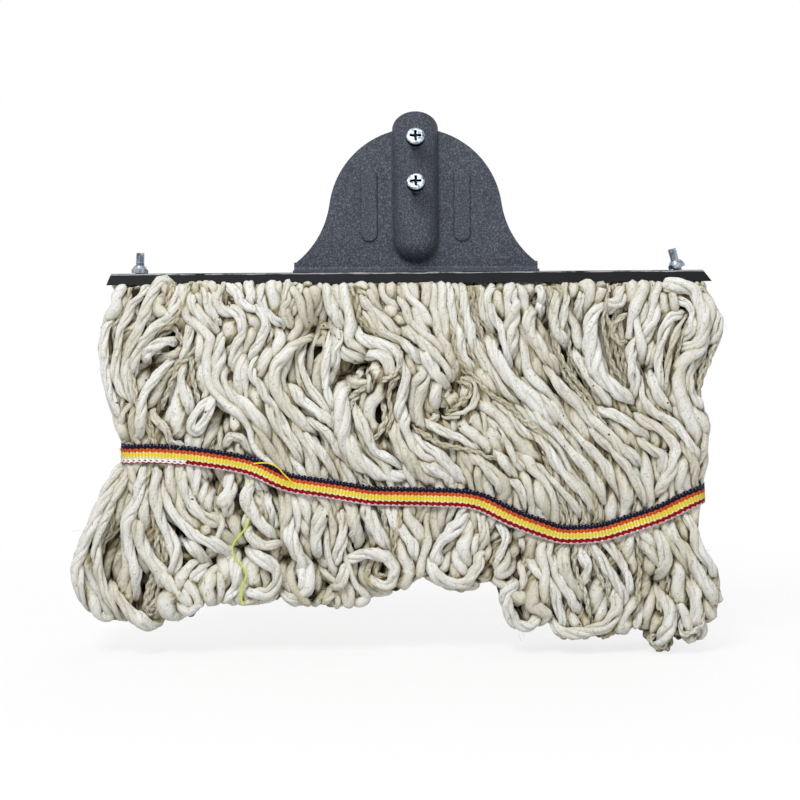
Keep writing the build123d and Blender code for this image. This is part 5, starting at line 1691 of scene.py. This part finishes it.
def lay_tape(name, facing):
    """The tape of one side, laid over its yarn."""
    run = tape_run * np.array([1, facing, 1])
    if facing > 0:
        run = run[::-1]
    bpy.ops.mesh.primitive_grid_add(x_subdivisions=TAPE_STEPS, y_subdivisions=TAPE_ROWS, size=1)
    tape = bpy.context.object
    tape.name = name
    flat = np.empty(len(tape.data.vertices) * 3)
    tape.data.vertices.foreach_get("co", flat)
    flat = flat.reshape(-1, 3) + 0.5
    at = flat[:, 0] * (len(run) - 1)
    knots = np.arange(len(run))
    spots = np.stack([np.interp(at, knots, run[:, axis]) for axis in range(3)], axis=1)
    ahead = np.gradient(run, axis=0)
    ahead = np.stack([np.interp(at, knots, ahead[:, axis]) for axis in range(3)], axis=1)
    ahead /= np.linalg.norm(ahead, axis=1)[:, None]
    upward = np.array([0.0, 0.0, 1.0]) - ahead * ahead[:, 2:3]
    upward /= np.linalg.norm(upward, axis=1)[:, None]
    outward = np.cross(ahead, upward)
    along = flat[:, 0] * tape_length
    height = (flat[:, 1] - 0.5) * TAPE_WIDTH
    height += (flat[:, 1] > SCALLOP_START) * SCALLOP * np.sin(2 * pi * along / BEAD_PITCH)
    slack = SLACK[0] * np.sin(along / SLACK_RUN[0])
    slack = slack + SLACK[1] * np.sin(along / SLACK_RUN[1] + SLACK_SLANT * flat[:, 1])
    spots = spots + upward * height[:, None] + outward * (TAPE_CLEAR + slack)[:, None]
    tape.data.vertices.foreach_set("co", (spots * MM).ravel())
    weave_place = np.stack([along, flat[:, 1] * TAPE_WIDTH, np.zeros(len(along))], axis=1).astype(np.float32)
    tape.data.attributes.new("weave", "FLOAT_VECTOR", "POINT").data.foreach_set("vector", weave_place.ravel())
    body = tape.modifiers.new("body", "SOLIDIFY")
    body.thickness = TAPE_THICKNESS * MM
    body.offset = -1.0
    bpy.ops.object.modifier_apply(modifier="body")
    bpy.ops.object.shade_smooth()
    tape.data.materials.append(weave)
    return tape


for name, facing in FACINGS.items():
    tape = lay_tape(f"{name}_tape", facing)
    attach(tape, f"{name}_skirt")
    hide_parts(f"{name}_stay_tape")
    print(tape.name, "length", round(float(tape_length), 1), "faces", len(tape.data.polygons))
bpy.ops.object.select_all(action="DESELECT")

# %% [markdown]
# One yellow warp thread of the front tape has pulled loose and floats over the orange stripe. It is a curve
# with a round bevel, made into a mesh.

# %% Floating warp thread
FLOAT_PIXELS = [
    (253, 463.6), (260, 462.9), (268.5, 463.1), (277, 466.6), (284, 474.4), (291, 481.4), (296, 484.5),
]
FLOAT_OUT = [TAPE_FACE + rise for rise in (1.0, 1.7, 1.9, 2.0, 1.9, 1.8, 1.0)]
FLOAT_RADIUS, FLOAT_POINTS, FLOAT_EASE = 0.34, 40, 2
yellow_warp, tree = new_material("yellow_warp_thread")
shader = add_node(tree, "BsdfPrincipled", {"Base Color": linear("#f5df12"), "Roughness": 0.6})
finish_material(tree, shader)
float_line = [(*from_photo(px, py, out), out) for (px, py), out in zip(FLOAT_PIXELS, FLOAT_OUT)]
float_line = even_line([(x, -out, z) for x, z, out in float_line], FLOAT_POINTS, FLOAT_EASE)
float_curve, spline = round_curve("floating_warp", "POLY", float_line, FLOAT_RADIUS, 2)
float_thread = add_object("floating_warp", float_curve)
bpy.context.view_layer.objects.active = float_thread
float_thread.select_set(True)
bpy.ops.object.convert(target="MESH")
float_thread = bpy.context.object
bpy.ops.object.shade_smooth()
float_thread.data.materials.append(yellow_warp)
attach(float_thread, "front_skirt")
bpy.ops.object.select_all(action="DESELECT")
print("floating warp faces", len(float_thread.data.polygons))

# %% [markdown]
# The clamp bolts are M5, with a thread that rises 0.8 millimetres in each turn. A triangle swept by the Screw
# modifier makes the ridge of the thread, a cylinder its core, and a six-sided cylinder the head below.

# %% Clamp bolts
THREAD_PITCH, THREAD_CORE, THREAD_OUTER = 0.8, 2.2, 2.5
RIDGE_HEIGHTS, RIDGE_SUNK, RIDGE_STEPS = (0.0, 0.36, 0.72), 0.15, 20
# Where the ridge starts above the head and ends below the tip, and how far the core goes into the head
RIDGE_START, RIDGE_END, CORE_SUNK = 0.5, 0.3, 0.2
HEX_HEIGHT, HEX_RADIUS = 3.4, 4.3
CORE_SIDES, HEX_SIDES, SMOOTH_ANGLE = 24, 6, radians(35)
BOLT_LEANS = {"left": (-1, 3.0), "right": (1, 16.0)}
PLATE_LEVEL = -76.8


def add_cylinder(radius, low, high, sides):
    """A closed cylinder along Z, in millimetres."""
    bpy.ops.mesh.primitive_cylinder_add(vertices=sides, radius=radius * MM, depth=(high - low) * MM,
                                        location=(0, 0, (high + low) / 2 * MM))
    return bpy.context.object


def add_thread(low, high):
    """The ridge of a screw thread along Z, from one height to another."""
    mesh = bpy.data.meshes.new("ridge")
    corners = zip((THREAD_CORE - RIDGE_SUNK, THREAD_OUTER, THREAD_CORE - RIDGE_SUNK), RIDGE_HEIGHTS)
    mesh.from_pydata([(x * MM, 0, (low + z) * MM) for x, z in corners], [(0, 1), (1, 2), (2, 0)], [])
    ridge = add_object("ridge", mesh)
    bpy.context.view_layer.objects.active = ridge
    ridge.select_set(True)
    winding = ridge.modifiers.new("winding", "SCREW")
    winding.screw_offset = THREAD_PITCH * MM
    winding.iterations = int((high - low) / THREAD_PITCH) - 1
    winding.steps = winding.render_steps = RIDGE_STEPS
    bpy.ops.object.modifier_apply(modifier="winding")
    bpy.ops.object.mode_set(mode="EDIT")
    bpy.ops.mesh.select_all(action="SELECT")
    bpy.ops.mesh.fill_holes(sides=3)
    bpy.ops.mesh.normals_make_consistent(inside=False)
    bpy.ops.object.mode_set(mode="OBJECT")
    return ridge


for side, (sign, lean) in BOLT_LEANS.items():
    node = nodes[f"{side}_clamp_bolt"]
    axis = Vector((-sign * sin(radians(lean)), 0, cos(radians(lean))))
    foot = Vector((CLAMP_X + sign * BOLT_X, 0, PLATE_LEVEL)) * MM
    reach = [(node.matrix_world @ v.co - foot).dot(axis) / MM for v in node.data.vertices]
    low, high = min(reach), max(reach)
    bpy.ops.object.select_all(action="DESELECT")
    pieces = [add_cylinder(THREAD_CORE, low + HEX_HEIGHT - CORE_SUNK, high, CORE_SIDES)]
    pieces.append(add_cylinder(HEX_RADIUS, low, low + HEX_HEIGHT, HEX_SIDES))
    pieces.append(add_thread(low + HEX_HEIGHT + RIDGE_START, high - RIDGE_END))
    for piece in pieces:
        piece.select_set(True)
    bpy.context.view_layer.objects.active = pieces[0]
    bpy.ops.object.join()
    bolt = bpy.context.object
    bolt.name = f"{side}_threaded_bolt"
    tilt = Euler((0, radians(-sign * lean), 0)).to_matrix().to_4x4()
    bolt.matrix_world = Matrix.Translation(foot) @ tilt @ bolt.matrix_world
    bpy.ops.object.transform_apply(location=True, rotation=True, scale=True)
    bpy.ops.object.shade_smooth_by_angle(angle=SMOOTH_ANGLE)
    bolt.data.materials.append(zinc_plate)
    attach(bolt, "jaw")
    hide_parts(f"{side}_clamp_bolt")
    print(bolt.name, "from", round(low, 1), "to", round(high, 1))
bpy.ops.object.select_all(action="DESELECT")

# %% [markdown]
# The mop head stands over a white floor that lies just below the yarn. The floor glows white for the camera,
# also in mirror images and through glass, and a share of plain paper near the mop keeps a faint shadow there.
# It lights the mop less than it shows.

# %% Floor
FLOOR_Z = -0.2846


def seen_directly(tree):
    """The light path, and a mask of the rays from the camera, also by way of something glossy or clear."""
    path = add_node(tree, "LightPath")
    seen = path.outputs["Is Camera Ray"]
    for kind in ("Is Glossy Ray", "Is Transmission Ray"):
        seen = add_node(tree, "Math", {0: seen, 1: path.outputs[kind]}, operation="MAXIMUM")
    return path, seen


bpy.ops.mesh.primitive_plane_add(size=12.0, location=(0, 0, FLOOR_Z))
floor = bpy.context.object
floor.name = "floor"
white_floor, tree = new_material("white_floor")
path, seen = seen_directly(tree)
place = add_node(tree, "TexCoord")
away = add_node(tree, "VectorMath", {0: place.outputs["Object"]}, operation="LENGTH")
clean = add_node(tree, "MapRange", {"Value": away.outputs["Value"], 1: 0.1, 2: 0.5, 3: 0.8, 4: 1.0})
share = add_node(tree, "Math", {0: seen, 1: clean}, operation="MULTIPLY")
card = add_node(tree, "Mix", {
    0: path.outputs["Is Camera Ray"], 6: linear("#dcdcdc"), 7: linear("#f4f4f4"),
}, data_type="RGBA")
paper = add_node(tree, "BsdfDiffuse", {"Color": card.outputs[2]})
glow = add_node(tree, "Emission", {"Color": (1, 1, 1, 1), "Strength": 1.0})
both = add_node(tree, "MixShader", {0: share, 1: paper, 2: glow})
finish_material(tree, both)
floor.data.materials.append(white_floor)
print("floor at", FLOOR_Z)

# %% [markdown]
# The surround is white to the camera too, and a dimmer sky to the mop, brighter from above. Three soft square
# lamps stand round it: a key at the upper left, a weak fill at the right and one behind for the rear.

# %% Surround and lamps
world = bpy.data.worlds.new("studio")
bpy.context.scene.world = world
world.use_nodes = True
tree = world.node_tree
tree.nodes.clear()
path, seen = seen_directly(tree)
direction = add_node(tree, "TexCoord")
upward = add_node(tree, "SeparateXYZ", {0: direction.outputs["Generated"]})
sky = add_node(tree, "MapRange", {"Value": upward.outputs["Z"], 1: -0.5, 2: 0.8, 3: 0.18, 4: 0.42})
level = add_node(tree, "MapRange", {"Value": seen, 3: sky, 4: 1.0})
surround = add_node(tree, "Background", {"Color": (1, 1, 1, 1), "Strength": level})
add_node(tree, "OutputWorld", {"Surface": surround})

LAMPS = {
    "key": ((-0.35, -0.9, 0.8), 0.5, 13.5),
    "fill": ((0.9, -0.9, 0.15), 0.9, 2.0),
    "back": ((0.2, 0.9, 0.7), 0.9, 5.0),
}
for name, (spot, side, power) in LAMPS.items():
    lamp_data = bpy.data.lights.new(name, "AREA")
    lamp_data.size = side
    lamp_data.energy = power
    lamp = add_object(name, lamp_data)
    lamp.location = spot
    lamp.rotation_euler = (middle * MM - Vector(spot)).to_track_quat("-Z", "Y").to_euler()
bpy.context.scene.view_settings.view_transform = "Standard"
print("lamps", list(LAMPS))

# %% [markdown]
# Last, the size of the dressed mop head is set down beside that of the imported model, and the scene is closed.

# %% Update
bpy.context.view_layer.update()
